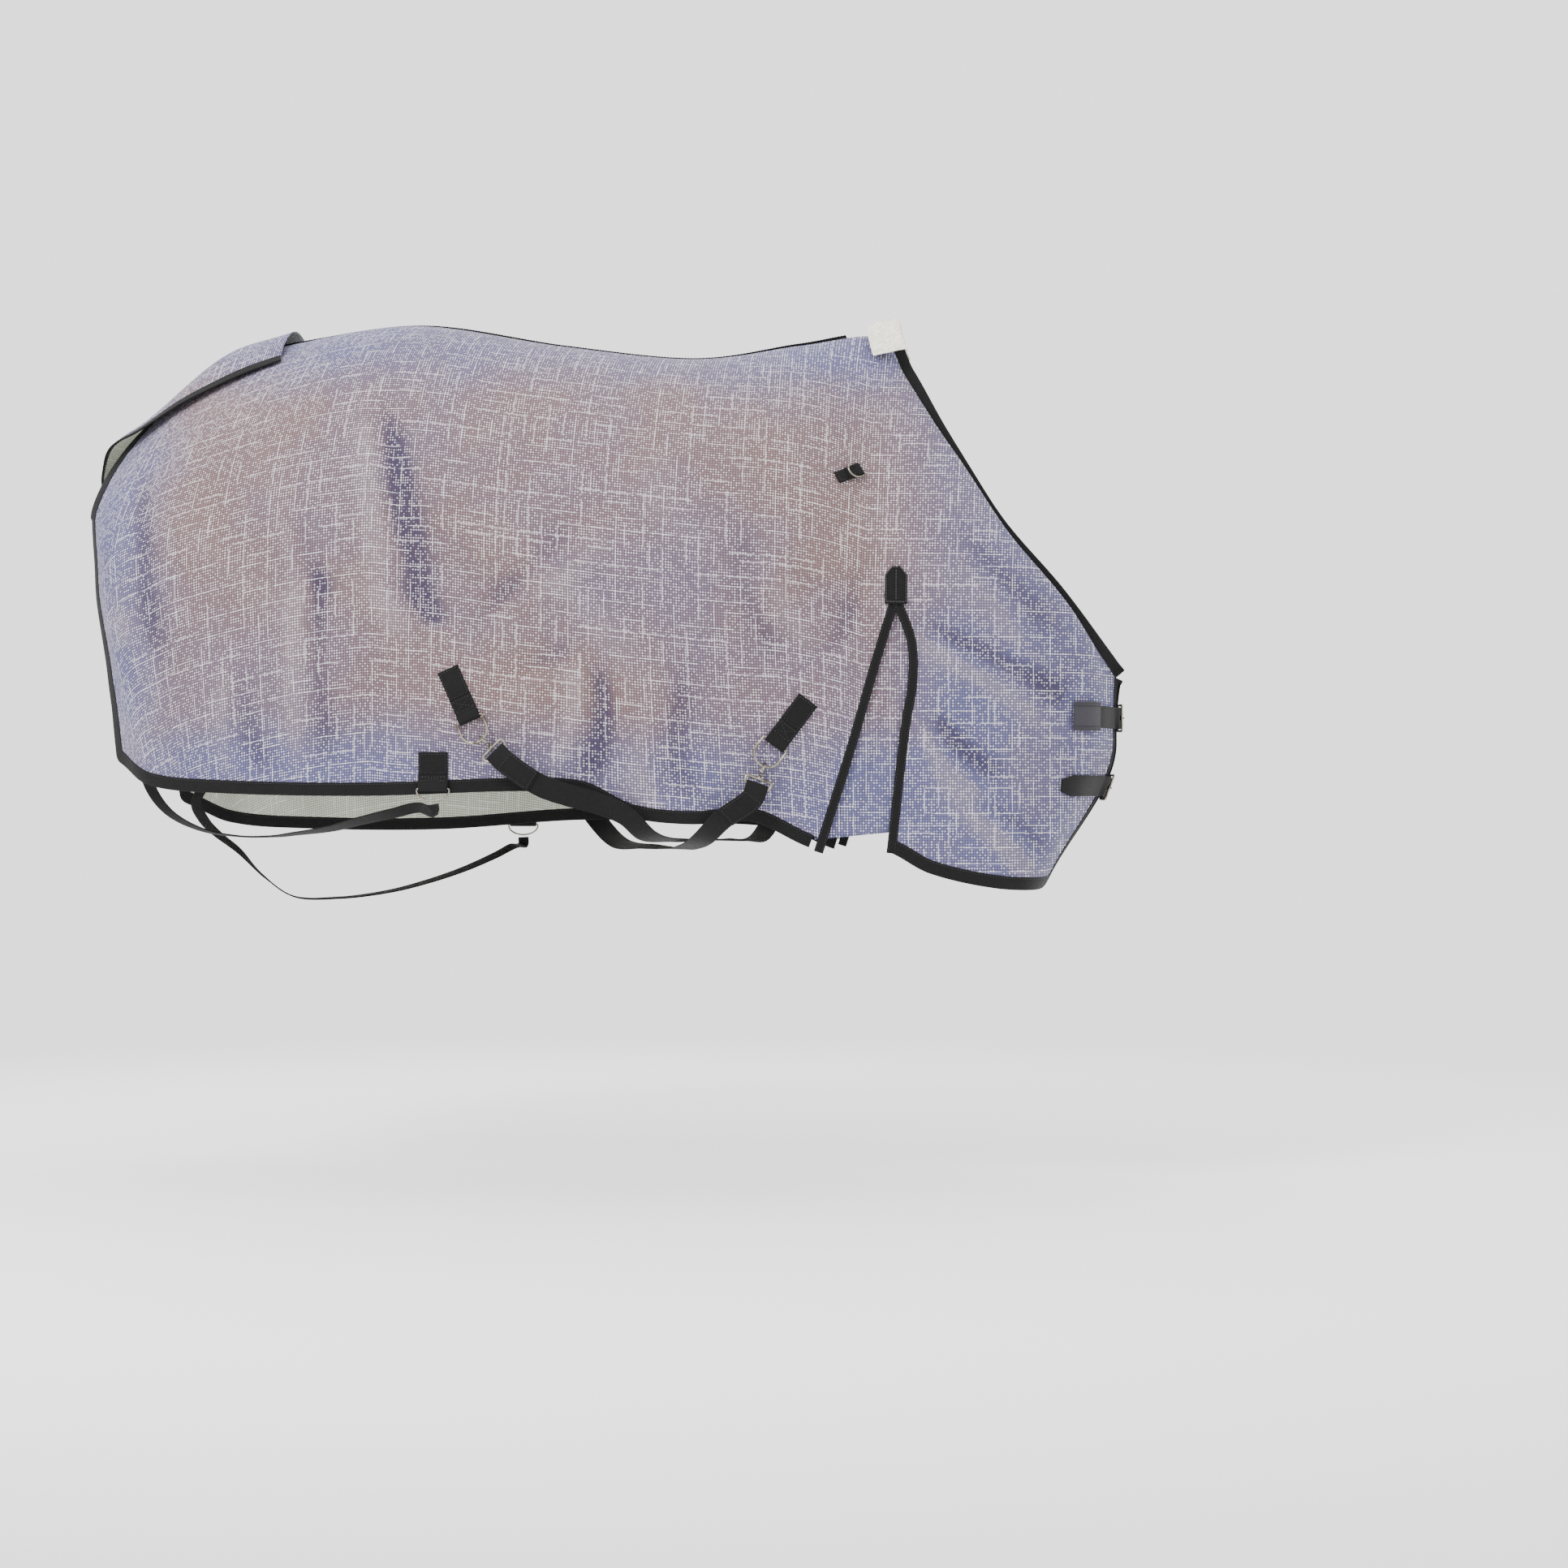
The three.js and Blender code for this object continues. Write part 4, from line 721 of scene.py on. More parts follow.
class Finish:
    """A procedural material under construction."""

    def __init__(self, name, **constants):
        self.material = bpy.data.materials.new(name)
        self.material.use_nodes = True
        self.tree = self.material.node_tree
        self.tree.nodes.clear()
        self.out = self.tree.nodes.new("ShaderNodeOutputMaterial")
        self.shader = self.tree.nodes.new("ShaderNodeBsdfPrincipled")
        self.tree.links.new(self.shader.outputs[0], self.out.inputs[0])
        for key, value in constants.items():
            socket = key.replace("_", " ").title().replace("Ior", "IOR")
            self.shader.inputs[socket].default_value = value
        self.where = self.tree.nodes.new("ShaderNodeTexCoord").outputs["Object"]
        uv = self.tree.nodes.new("ShaderNodeUVMap")
        uv.uv_map = "cloth"
        self.spot = uv.outputs[0]

    def put(self, socket, value):
        if hasattr(value, "node"):
            self.tree.links.new(value, socket)
        else:
            socket.default_value = value

    def node(self, kind, out=0, props=None, **inputs):
        made = self.tree.nodes.new("ShaderNode" + kind)
        for key, value in (props or {}).items():
            setattr(made, key, value)
        for key, value in inputs.items():
            self.put(made.inputs[int(key[1:]) if key[0] == "i" and key[1:].isdigit()
                                 else key.replace("_", " ").title()], value)
        return made.outputs[out]

    def sum(self, operation, a, b=0.0, c=0.0):
        return self.node("Math", props={"operation": operation}, i0=a, i1=b, i2=c)

    def step(self, value, low, high, to_low=0.0, to_high=1.0):
        return self.node("MapRange", props={"interpolation_type": "SMOOTHSTEP"},
                         i0=value, i1=low, i2=high, i3=to_low, i4=to_high)

    def split(self, vector):
        made = self.tree.nodes.new("ShaderNodeSeparateXYZ")
        self.put(made.inputs[0], vector)
        return made.outputs

    def join(self, x, y, z=0.0):
        return self.node("CombineXYZ", i0=x, i1=y, i2=z)

    def chance(self, vector):
        return self.node("TexWhiteNoise", i0=vector, props={"noise_dimensions": "3D"})

    def clouds(self, scale, detail=3.0, vector=None, rough=0.55):
        return self.node("TexNoise", i0=self.where if vector is None else vector, i2=scale,
                         i3=detail, i4=rough)

    def mix(self, share, a, b, blend="MIX"):
        made = self.tree.nodes.new("ShaderNodeMix")
        made.data_type, made.blend_type = "RGBA", blend
        self.put(made.inputs[0], share)
        self.put(made.inputs[6], a)
        self.put(made.inputs[7], b)
        return made.outputs[2]

    def bump(self, height, strength, distance):
        made = self.node("Bump", i0=strength, i1=distance, Height=height)
        self.put(self.shader.inputs["Normal"], made)


def slubs(f, along, across, row_height, reach, thin, seed):
    """Thick threads: short runs along one way, at odd places across."""
    row = f.sum("FLOOR", f.sum("DIVIDE", across, row_height))
    pick = f.chance(f.join(row, seed))
    inside = f.sum("FRACT", f.sum("DIVIDE", across, row_height))
    middle = f.sum("MULTIPLY_ADD", pick, 0.6, 0.2)
    off = f.sum("ABSOLUTE", f.sum("SUBTRACT", inside, middle))
    line = f.step(off, thin * 0.5, thin, 1.0, 0.0)
    run = f.sum("ADD", f.sum("DIVIDE", along, reach), f.sum("MULTIPLY", pick, 17.0))
    cell = f.sum("FLOOR", run)
    lit = f.step(f.chance(f.join(row, cell, seed + 3.0)), 0.46, 0.5)
    end = f.sum("ABSOLUTE", f.sum("SUBTRACT", f.sum("FRACT", run), 0.5))
    fade = f.step(end, 0.3, 0.5, 1.0, 0.0)
    return f.sum("MULTIPLY", f.sum("MULTIPLY", line, lit), fade)


def mesh_finish(name, settings, inner=False):
    f = Finish(name, roughness=0.82, specular_ior_level=0.2, sheen_weight=0.06,
               sheen_roughness=0.5)
    u, w, _ = f.split(f.spot)
    x, _, z = f.split(f.where)
    pitch = settings.weave
    cu, cw = f.sum("DIVIDE", u, pitch), f.sum("DIVIDE", w, pitch)
    fu = f.sum("ABSOLUTE", f.sum("SUBTRACT", f.sum("FRACT", cu), 0.5))
    fw = f.sum("ABSOLUTE", f.sum("SUBTRACT", f.sum("FRACT", cw), 0.5))
    hole = f.sum("MULTIPLY", f.step(fu, 0.27, 0.4, 1.0, 0.0), f.step(fw, 0.27, 0.4, 1.0, 0.0))
    cell = f.join(f.sum("FLOOR", f.sum("ADD", cu, 0.5)), f.sum("FLOOR", f.sum("ADD", cw, 0.5)))
    near = f.sum("MULTIPLY", f.step(fu, 0.12, 0.42), f.step(fw, 0.12, 0.42))
    dot = f.sum("MULTIPLY", f.step(f.chance(cell), 0.4, 0.7), near)
    thick = f.sum("MAXIMUM", slubs(f, u, w, 0.021, 0.052, 0.028, 1.0),
                  slubs(f, w, u, 0.021, 0.052, 0.028, 5.0))
    cloud = f.clouds(2.6, 4.0)
    # Warm in the middle, cooler along the back, the hem and over the shoulder.
    band = f.sum("MAXIMUM", f.step(z, -0.16, -0.02), f.step(z, -0.78, -0.64, 1.0, 0.0))
    band = f.sum("MAXIMUM", band, f.step(x, -0.02, 0.22))
    band = f.sum("MAXIMUM", band, f.step(x, -1.3, -1.14, 1.0, 0.0))
    cool = f.sum("MULTIPLY_ADD", f.step(cloud, 0.35, 0.7), 0.5, f.sum("MULTIPLY", band, 0.75))
    cool = f.sum("MINIMUM", cool, 1.0)
    if inner:
        # The inner face is painted pale cream-green: painted backlight, standing in for daylight
        # and green ground seen through the mesh from behind.
        ground = f.mix(cloud, linear(196, 200, 180), linear(170, 176, 160))
        dark = linear(92, 94, 92)
    else:
        ground = f.mix(cool, tuple(settings.warm), tuple(settings.cool))
        # Painted shade and highlight on the folds: the mesh is darkened and blued down in each
        # fold, where shadow falls, and painted paler along its ridge, where light falls.
        fold_shade_and_highlight = f.node("Attribute", out="Fac", props={"attribute_name": "fold_shade_and_highlight"})
        ground = f.mix(f.step(fold_shade_and_highlight, -0.95, 0.02, 0.8, 0.0), ground, tuple(settings.painted_fold_shade))
        # Painted highlight along the fold ridges.
        ground = f.mix(f.step(fold_shade_and_highlight, 0.02, 0.45, 0.0, 0.35), ground, linear(160, 146, 150))
        # Painted shade in the holes of the outer face.
        dark = linear(30, 25, 36)
    lit = f.mix(f.sum("MULTIPLY", dot, 0.9), ground, linear(214, 208, 214))
    # The holes are painted darker than the threads on both faces: painted shade of what lies
    # inside, seen through them; the alpha below also lets a little real light through them.
    weave_with_shaded_holes = f.mix(f.sum("MULTIPLY", hole, 0.55), lit, dark)
    colour = f.mix(f.sum("MULTIPLY", thick, 0.8), weave_with_shaded_holes, tuple(settings.slub))
    f.put(f.shader.inputs["Base Color"], colour)
    clear = f.sum("MULTIPLY", hole, f.sum("SUBTRACT", 1.0, thick))
    f.put(f.shader.inputs["Alpha"], f.sum("SUBTRACT", 1.0, f.sum("MULTIPLY", clear, 0.16)))
    height = f.sum("ADD", f.sum("SUBTRACT", 1.0, hole), f.sum("MULTIPLY", thick, 0.9))
    f.bump(height, 0.55, 0.0006)
    return f


def woven_finish(name, base, pale, ribs=0.0016, rough=0.85, sheen=0.04):
    """Close webbing: ribs along and across, worn paler in patches."""
    f = Finish(name, roughness=rough, specular_ior_level=0.2, sheen_weight=sheen,
               sheen_roughness=0.45)
    u, w, _ = f.split(f.spot)
    ku = f.sum("SINE", f.sum("MULTIPLY", u, 2 * math.pi / ribs))
    kw = f.sum("SINE", f.sum("MULTIPLY", f.sum("ADD", w, f.sum("MULTIPLY", u, 0.5)),
                             2 * math.pi / ribs))
    rib = f.sum("MULTIPLY_ADD", f.sum("MULTIPLY", ku, kw), 0.5, 0.5)
    cloud = f.clouds(9.0, 5.0)
    fuzz = f.clouds(420.0, 2.0)
    wear = f.sum("MULTIPLY", f.step(cloud, 0.48, 0.75), f.step(fuzz, 0.35, 0.75))
    tone = f.mix(f.sum("MULTIPLY_ADD", rib, 0.5, f.sum("MULTIPLY", fuzz, 0.25)), base, pale)
    tone = f.mix(f.sum("MULTIPLY", wear, 0.4), tone, tuple(2.2 * c for c in pale[:3]) + (1.0,))
    f.put(f.shader.inputs["Base Color"], tone)
    f.put(f.shader.inputs["Roughness"], f.step(fuzz, 0.2, 0.8, rough - 0.12, rough + 0.1))
    f.bump(f.sum("ADD", rib, f.sum("MULTIPLY", fuzz, 0.6)), 0.6, 0.0005)
    return f


def nickel_finish(name):
    f = Finish(name, metallic=1.0)
    cloud, fine = f.clouds(60.0, 5.0), f.clouds(700.0, 3.0)
    tarnish = f.step(cloud, 0.45, 0.72)
    tone = f.mix(tarnish, linear(140, 134, 124), linear(78, 68, 56))
    tone = f.mix(f.step(fine, 0.62, 0.8, 0.0, 0.35), tone, linear(92, 84, 74))
    f.put(f.shader.inputs["Base Color"], tone)
    f.put(f.shader.inputs["Roughness"], f.step(cloud, 0.3, 0.75, 0.2, 0.42))
    f.bump(fine, 0.15, 0.0002)
    return f


def fleece_finish(name):
    f = Finish(name, roughness=0.95, specular_ior_level=0.15, sheen_weight=0.6,
               sheen_roughness=0.35, subsurface_weight=0.12, subsurface_scale=0.006)
    curl, tuft = f.clouds(170.0, 4.0, rough=0.65), f.clouds(38.0, 3.0)
    tone = f.mix(f.step(curl, 0.3, 0.7), linear(206, 196, 176), linear(252, 249, 240))
    tone = f.mix(f.step(tuft, 0.35, 0.65, 0.35, 0.0), tone, linear(226, 219, 204))
    f.put(f.shader.inputs["Base Color"], tone)
    f.bump(f.sum("ADD", curl, f.sum("MULTIPLY", tuft, 0.6)), 0.8, 0.003)
    return f


def thread_finish(name, trim):
    f = Finish(name, roughness=0.6, specular_ior_level=0.4)
    twist = f.clouds(1400.0, 2.0)
    f.put(f.shader.inputs["Base Color"], f.mix(twist, tuple(trim.thread), tuple(trim.pale)))
    f.bump(twist, 0.4, 0.0002)
    return f


def floor_finish(name, settings):
    f = Finish(name, roughness=0.9, specular_ior_level=0.1)
    f.put(f.shader.inputs["Base Color"], f.mix(f.clouds(3.0), tuple(settings.floor),
                                                tuple(0.985 * c for c in settings.floor)))
    x, y, _ = f.split(f.where)
    far = f.sum("SQRT", f.sum("ADD", f.sum("MULTIPLY", x, x), f.sum("MULTIPLY", y, y)))
    f.put(f.shader.inputs["Alpha"], f.step(far, 1.6, settings.radius - 0.1, 1.0, 0.0))
    return f


# ---- settings ----
def colour(name, text, value):
    return bpy.props.FloatVectorProperty(name=name, description=text, default=value, size=4,
                                         subtype="COLOR", min=0, max=1)


def length(name, text, value):
    return bpy.props.FloatProperty(name=name, description=text, default=value, unit="LENGTH")


class FlySheetCloth(bpy.types.PropertyGroup):
    warm: colour("Warm", "Mesh over the middle of the side", linear(122, 99, 97))
    cool: colour("Cool", "Mesh along the back, hem and shoulder", linear(92, 92, 130))
    # Painted shade: the colour the mesh is darkened to down in its folds, standing in for their
    # shadow.
    painted_fold_shade: colour("Shade", "Mesh down in its folds", linear(46, 38, 70))
    slub: colour("Slub", "The thick pale threads", linear(226, 222, 226))
    weave: length("Weave", "Distance between threads of the mesh", 0.0045)
    lining: length("Thickness", "Thickness of the mesh cloth", 0.0012)
    along: bpy.props.IntProperty(name="Along", description="Cells along each side", default=300)
    down: bpy.props.IntProperty(name="Down", description="Cells from top to hem", default=150)


class FlySheetTrim(bpy.types.PropertyGroup):
    dark: colour("Dark", "Bindings and webbing", linear(6, 6, 6))
    pale: colour("Pale", "Worn ribs of bindings and webbing", linear(17, 16, 17))
    thread: colour("Thread", "Sewing thread", linear(40, 39, 41))


class FlySheetStage(bpy.types.PropertyGroup):
    floor: colour("Floor", "Colour of the floor", linear(248, 248, 248))
    drop: length("Drop", "Floor below the withers", 1.5)
    radius: length("Radius", "Radius of the floor", 3.4)
    lens: bpy.props.FloatProperty(name="Lens", description="Focal length", default=71.11,
                                  unit="CAMERA")


# ---- cords ----
SURCINGLE = {
    "rear": ((-654, -688), 24, 22),
    "front": ((-138, -730), -37, 17),
}
BELLY_ROUTES = {
    "rear": [[-532, -345, -800], [-488, -341, -816], [-432, -334, -832], [-388, -332, -852],
             [-358, -300, -884], [-316, -150, -896], [-280, 0, -898], [-250, 150, -900],
             [-222, 290, -898], [-204, 332, -866], [-182, 340, -815]],
    "front": [[-224, -324, -856], [-262, -288, -890], [-305, -160, -908], [-350, 0, -913],
              [-410, 150, -913], [-490, 300, -908], [-530, 346, -876], [-575, 352, -815]],
}
HEM_TABS = {"near": (-717, -806), "far": (-677, -874)}
TAIL_TABS = {"near": (-1262, -640), "far": (-1262, -700)}
LEG_ROUTES = {
    "near": [[-745, -312, -838], [-795, -290, -848], [-865, -235, -862], [-930, -172, -876],
             [-1011, -90, -886], [-1070, -35, -892], [-1130, -28, -892], [-1190, -62, -880],
             [-1238, -118, -845], [-1262, -158, -790]],
    "far": [[-690, 296, -915], [-720, 275, -932], [-774, 232, -958], [-834, 182, -980],
            [-894, 132, -996], [-975, 80, -1006], [-1050, 42, -1002], [-1100, 22, -965],
            [-1145, 22, -920], [-1195, 60, -890], [-1238, 115, -862], [-1262, 156, -830]],
}
RING_TILT = math.radians(14)
SHOULDER = ((-4, -264), 120, math.radians(165))


def surcingle_seat(spot):
    loop, lean, turn = SURCINGLE[spot]
    at = place(NEAR, loop, lean)
    height = bar_height(RING_WIRE, SURCINGLE_BASE)
    legs = ring_legs(WEB / 2 + RING_WIRE, RING_DEPTH)
    return at, height, seat_of(at, height, RING_TILT, legs, math.radians(turn))


def tail_seat(side, name):
    at = place(side, TAIL_TABS[name], 0, True)
    height = bar_height(SMALL_WIRE, TAIL_BASE)
    legs = ring_legs(LEG_WEB / 2 + SMALL_WIRE, TAIL_RING)
    return at, height, seat_of(at, height, RING_TILT, legs, 0)


def plumb(at):
    return math.atan2(-at[2, 2], -at[2, 1])


def strap_piece(name, frames, width, seat, bar, wire, back, far_seam):
    """A webbing strap turned back round the bar of its hook and stitched at both ends."""
    part = Part()
    sweep(part, wrapped(seat, bar, loop_radius(wire, WEB_THICK), frames, back),
          flat_section(-width / 2, width / 2, WEB_THICK, 0.12))
    run = distances(frames[0])
    inset = width / 2 - 3
    for q0, q1, lift in ((16, back - 4, WEB_THICK * 1.5 + 0.7), far_seam):
        p, o, n = (spread_on(run, a, np.linspace(q0, q1, 12)) for a in frames)
        band = (p + n * lift, unit(o), unit(n))
        for edge in (-1, 1):
            seam(part, band, edge * inset, 0, wide=1.0, high=0.8)
        for end in (q0, q1):
            p, o, n = (spread_on(run, a, np.full(8, end)) for a in frames)
            row = p + n * lift + unit(o) * np.linspace(-inset, inset, 8)[:, None]
            stitches(part, framed(row, n), wide=1.0, high=0.8)
    return make(name, part, ["strap webbing", "thread"], None, [])


def declare_strap(obj, frames, start, end, node):
    p = frames[0] / 1000
    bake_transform(obj)
    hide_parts(node)
    path = [tuple(q) for q in p[::8]]
    if tuple(p[-1]) != path[-1]:
        path.append(tuple(p[-1]))
    tuple(p[0])
    round(float(distances(p)[-1]), 3)


class FLYSHEET_OT_straps(bpy.types.Operator):
    """Makes the two belly straps and the two leg straps."""

    bl_idname = "flysheet.straps"
    bl_label = "Straps"

    def execute(self, context):
        trim = context.scene.flysheet_trim
        woven_finish("strap webbing", tuple(trim.dark), tuple(trim.pale), ribs=0.0022)
        thread_finish("thread", trim)
        other = {"rear": "front", "front": "rear"}
        for spot, route in BELLY_ROUTES.items():
            _, _, seat = surcingle_seat(spot)
            low = hook_layout(WEB, HOOK_WIRE, HOOK_MOUTH, RING_DEPTH)[3]
            loop, lean, _ = SURCINGLE[other[spot]]
            far_at = place(FAR, loop, lean)
            frames = strap_line(strap_end(seat, low + HOOK_WIRE / 2 + STRAP_GAP), route,
                                strap_end(far_at, 2, PATCH_LIFT + 1))
            total = distances(frames[0])[-1]
            obj = strap_piece(f"{spot}_belly_webbing", frames, WEB, seat, low, HOOK_WIRE, 74,
                              (total - 30, total - 4, WEB_THICK / 2 + 0.2))
            p = frames[0] / 1000
            near = int(len(p) * 0.16)
            declare_strap(obj, frames,
                          tuple(p[near]), tuple(p[4]), f"{spot}_belly_strap")
        for side, name in SIDES:
            hem_at = place(side, HEM_TABS[name], 0)
            tilt = plumb(hem_at)
            height = bar_height(SMALL_WIRE, HEM_BASE)
            low = HEM_RING + SMALL_WIRE / 2 + 1
            start = strap_end(hem_at, low, height + low * math.sin(tilt))
            _, _, seat = tail_seat(side, name)
            bar = hook_layout(LEG_WEB, SNAP_WIRE, SNAP_MOUTH, TAIL_RING)[3]
            end = strap_end(seat, bar + SNAP_WIRE / 2 + STRAP_GAP)
            p, o, n = strap_line(start, LEG_ROUTES[name], end)
            back = (p[::-1], -o[::-1], n[::-1])
            total = distances(p)[-1]
            obj = strap_piece(f"{name}_leg_webbing", back, LEG_WEB, seat, bar, SNAP_WIRE, 52,
                              (total - 40, total - 5, WEB_THICK / 2 + 0.2))
            m = p / 1000
            declare_strap(obj, (p, o, n),
                          tuple(m[-60]), tuple(m[-5]), f"{name}_leg_strap")
        return {"FINISHED"}


# ---- cloth ----
def slit_curve(edge, q):
    """Points of a slit edge at shares q, timed evenly from point to point."""
    points = SLIT[edge]
    return timed(np.vstack([points[0], points, points[-1]]), q)


def in_slit(p):
    """Which points lie between the two edges of the shoulder slit."""
    lines = {}
    for edge, points in SLIT.items():
        line = slit_curve(edge, np.linspace(0, 1, 23 * (len(points) - 1) + 1))
        order = np.argsort(line[:, 1])
        lines[edge] = np.interp(p[..., 2], line[order, 1], line[order, 0])
    below = p[..., 2] < SLIT["rear"][0, 1] + 1
    return below & (p[..., 0] > lines["rear"]) & (p[..., 0] < lines["front"])


def lined(obj, thickness, inner):
    """Gives a cloth its thickness and its own inner face."""
    obj.data.materials.append(bpy.data.materials[inner])
    thickened(obj, thickness).material_offset = 1


def grain(p, nu, nv):
    """Where each point lies on the flat cloth: along its length and down from the back."""
    row = p[:, nv // 2]
    across = distances(row)[:, None] + np.zeros(nv + 1)
    drop = np.stack([distances(column) for column in p])
    k = int(nu * WITHERS)
    order = np.argsort(-p[k, :, 2])
    depth, start = -p[k, order, 2], across[k, 0]
    for i in range(k, nu + 1):
        low = -p[i, :, 2]
        across[i] = start + p[i, :, 0] - np.interp(low, depth, p[k, order, 0])
        drop[i] = np.interp(low, depth, drop[k, order]) + np.maximum(low - depth[-1], 0)
    return across, drop


class FLYSHEET_OT_panels(bpy.types.Operator):
    """Makes the mesh panel of each side, its folds and the gusset behind its slit."""

    bl_idname = "flysheet.panels"
    bl_label = "Mesh panels"

    def execute(self, context):
        settings = context.scene.flysheet_cloth
        mesh_finish("fly mesh", settings)
        mesh_finish("fly mesh, inner face, painted backlight", settings, inner=True)
        for side, name in SIDES:
            nu, nv = settings.along, settings.down
            s, t = shares(nu, nv)
            p = cloth(side, s, t)[0]
            middle = (p[1:, 1:] + p[:-1, 1:] + p[1:, :-1] + p[:-1, :-1]) / 4
            keep = ~in_slit(middle)
            across, drop = grain(p, nu, nv)
            faces = np.array(paving(nu, nv, keep, turned=side == NEAR))
            used = np.unique(faces)
            order = np.full(p.size // 3, -1)
            order[used] = np.arange(len(used))
            spots = np.stack([across, drop], axis=2).reshape(-1, 2) / 1000
            part = Part()
            part.add(p.reshape(-1, 3)[used], order[faces].tolist(), 0, spots[used])
            obj = make(f"{name}_mesh_panel", part, ["fly mesh"], "sheet",
                       [f"{name}_body_panel"])
            # Each point's fold depth is kept so that the finish can paint shade into the fold
            # valleys and highlight onto the ridges.
            fold_shade_and_highlight = obj.data.attributes.new("fold_shade_and_highlight", "FLOAT", "POINT")
            fold_shade_depth = swell(side, p.reshape(-1, 3)[used]) / 10
            fold_shade_and_highlight.data.foreach_set("value", fold_shade_depth.astype(np.float32))
            edge1, edge2 = p[1:, :-1] - p[:-1, :-1], p[:-1, 1:] - p[:-1, :-1]
            area = float((np.linalg.norm(np.cross(edge1, edge2), axis=2) * keep).sum()) / 1e6
            lined(obj, settings.lining, "fly mesh, inner face, painted backlight")
            self.gusset(side, name, settings.lining)
        return {"FINISHED"}

    def gusset(self, side, name, lining):
        """A lightly pleated piece behind the slit, reaching past both of its edges."""
        nu, nv = 36, 90
        q, w = shares(nu, nv)
        fall = w * 0.94 + (1 - w) * 0.04
        a, b = slit_curve("rear", fall), slit_curve("front", fall)
        a, b = a - v(GUSSET_LAP, 0), b + v(GUSSET_LAP, 0)
        spot = (a + (b - a) * q[..., None]).reshape(-1, 2)
        q, w = q.ravel(), w.ravel()
        g, n = side_frame(side, spot[:, 0], spot[:, 1])
        pleat = 2.2 * np.sin(math.pi * q) * np.sin(5.5 * math.pi * q + 2 * w)
        g = g + n * (pleat * smooth(w, 0.1, 0.5) - GUSSET_DEPTH)[:, None]
        part = Part()
        part.add(g, paving(nu, nv, turned=side == NEAR), 0, spot / 1000)
        gusset = make(f"{name}_gusset_mesh", part, ["fly mesh"], "sheet",
                      [f"{name}_shoulder_gusset"])
        lined(gusset, lining, "fly mesh, inner face, painted backlight")


def flap_point(u, w):
    mid, edge = curve(FLAP_MID, u), curve(FLAP_EDGE, u)
    a = 2 * w - 1
    p = mid + (edge - mid) * (a * a)[..., None]
    p[..., 1] = a * edge[..., 1]
    p[..., 2] += FLAP_LIFT
    return p


def surface_frame(point, u, w):
    u, w = np.broadcast_arrays(np.asarray(u, float), np.asarray(w, float))
    d = 0.01
    along = unit(point(np.minimum(u + d, 1), w) - point(np.maximum(u - d, 0), w))
    down = unit(point(u, np.minimum(w + d, 1)) - point(u, np.maximum(w - d, 0)))
    return point(u, w), unit(np.cross(along, down)), along, down


def flap_cloth(u, w):
    """The tail flap, lightly rippled away from its seam."""
    p, n, along, down = surface_frame(flap_point, u, w)
    a = 2 * w - 1
    ripple = 2.6 * np.sin(3.4 * math.pi * a + 1.2 * np.sin(4 * u)) * smooth(u, 0.25, 0.8)
    ripple = ripple + 1.2 * np.sin(23 * u + 3 * a)
    return p + n * ripple[..., None], n, along, down


def edge_band(point, corners, steps):
    """Frames round a cloth's edge by way of its corners, o pointing off the cloth."""
    p, o, n = [], [], []
    for k, (a, b) in enumerate(zip(corners[:-1], corners[1:])):
        q = np.linspace(0, 1, steps[k] + 1)
        u, w = a[0] + (b[0] - a[0]) * q, a[1] + (b[1] - a[1]) * q
        x, out, along, down = point(u, w)
        on_u = abs(b[0] - a[0]) > abs(b[1] - a[1])
        way = down if on_u else along
        fixed = a[1] if on_u else a[0]
        way = way if fixed > 0.5 else -way
        run = along if on_u else down
        way = unit(way - run * (way * run).sum(axis=-1, keepdims=True))
        if p:
            before, after = o[-1][-1], way[0]
            for r in np.linspace(0, 1, 8)[1:-1]:
                p.append(x[:1])
                n.append(out[:1])
                o.append(unit(before + (after - before) * r)[None])
        p.append(x)
        o.append(way)
        n.append(out)
    return np.vstack(p), np.vstack(o), np.vstack(n)


def bound(part, frames, low, high):
    """A folded binding with a row of stitches along its inner edge on both faces."""
    p, o, n = frames
    sweep(part, frames, flat_section(low, high, BINDING_THICK, 0.25))
    for face in (1, -1):
        q = p + o * (low + 3.2)
        stitches(part, (q + n * face * (BINDING_THICK / 2 + 0.1), o * face, n * face))


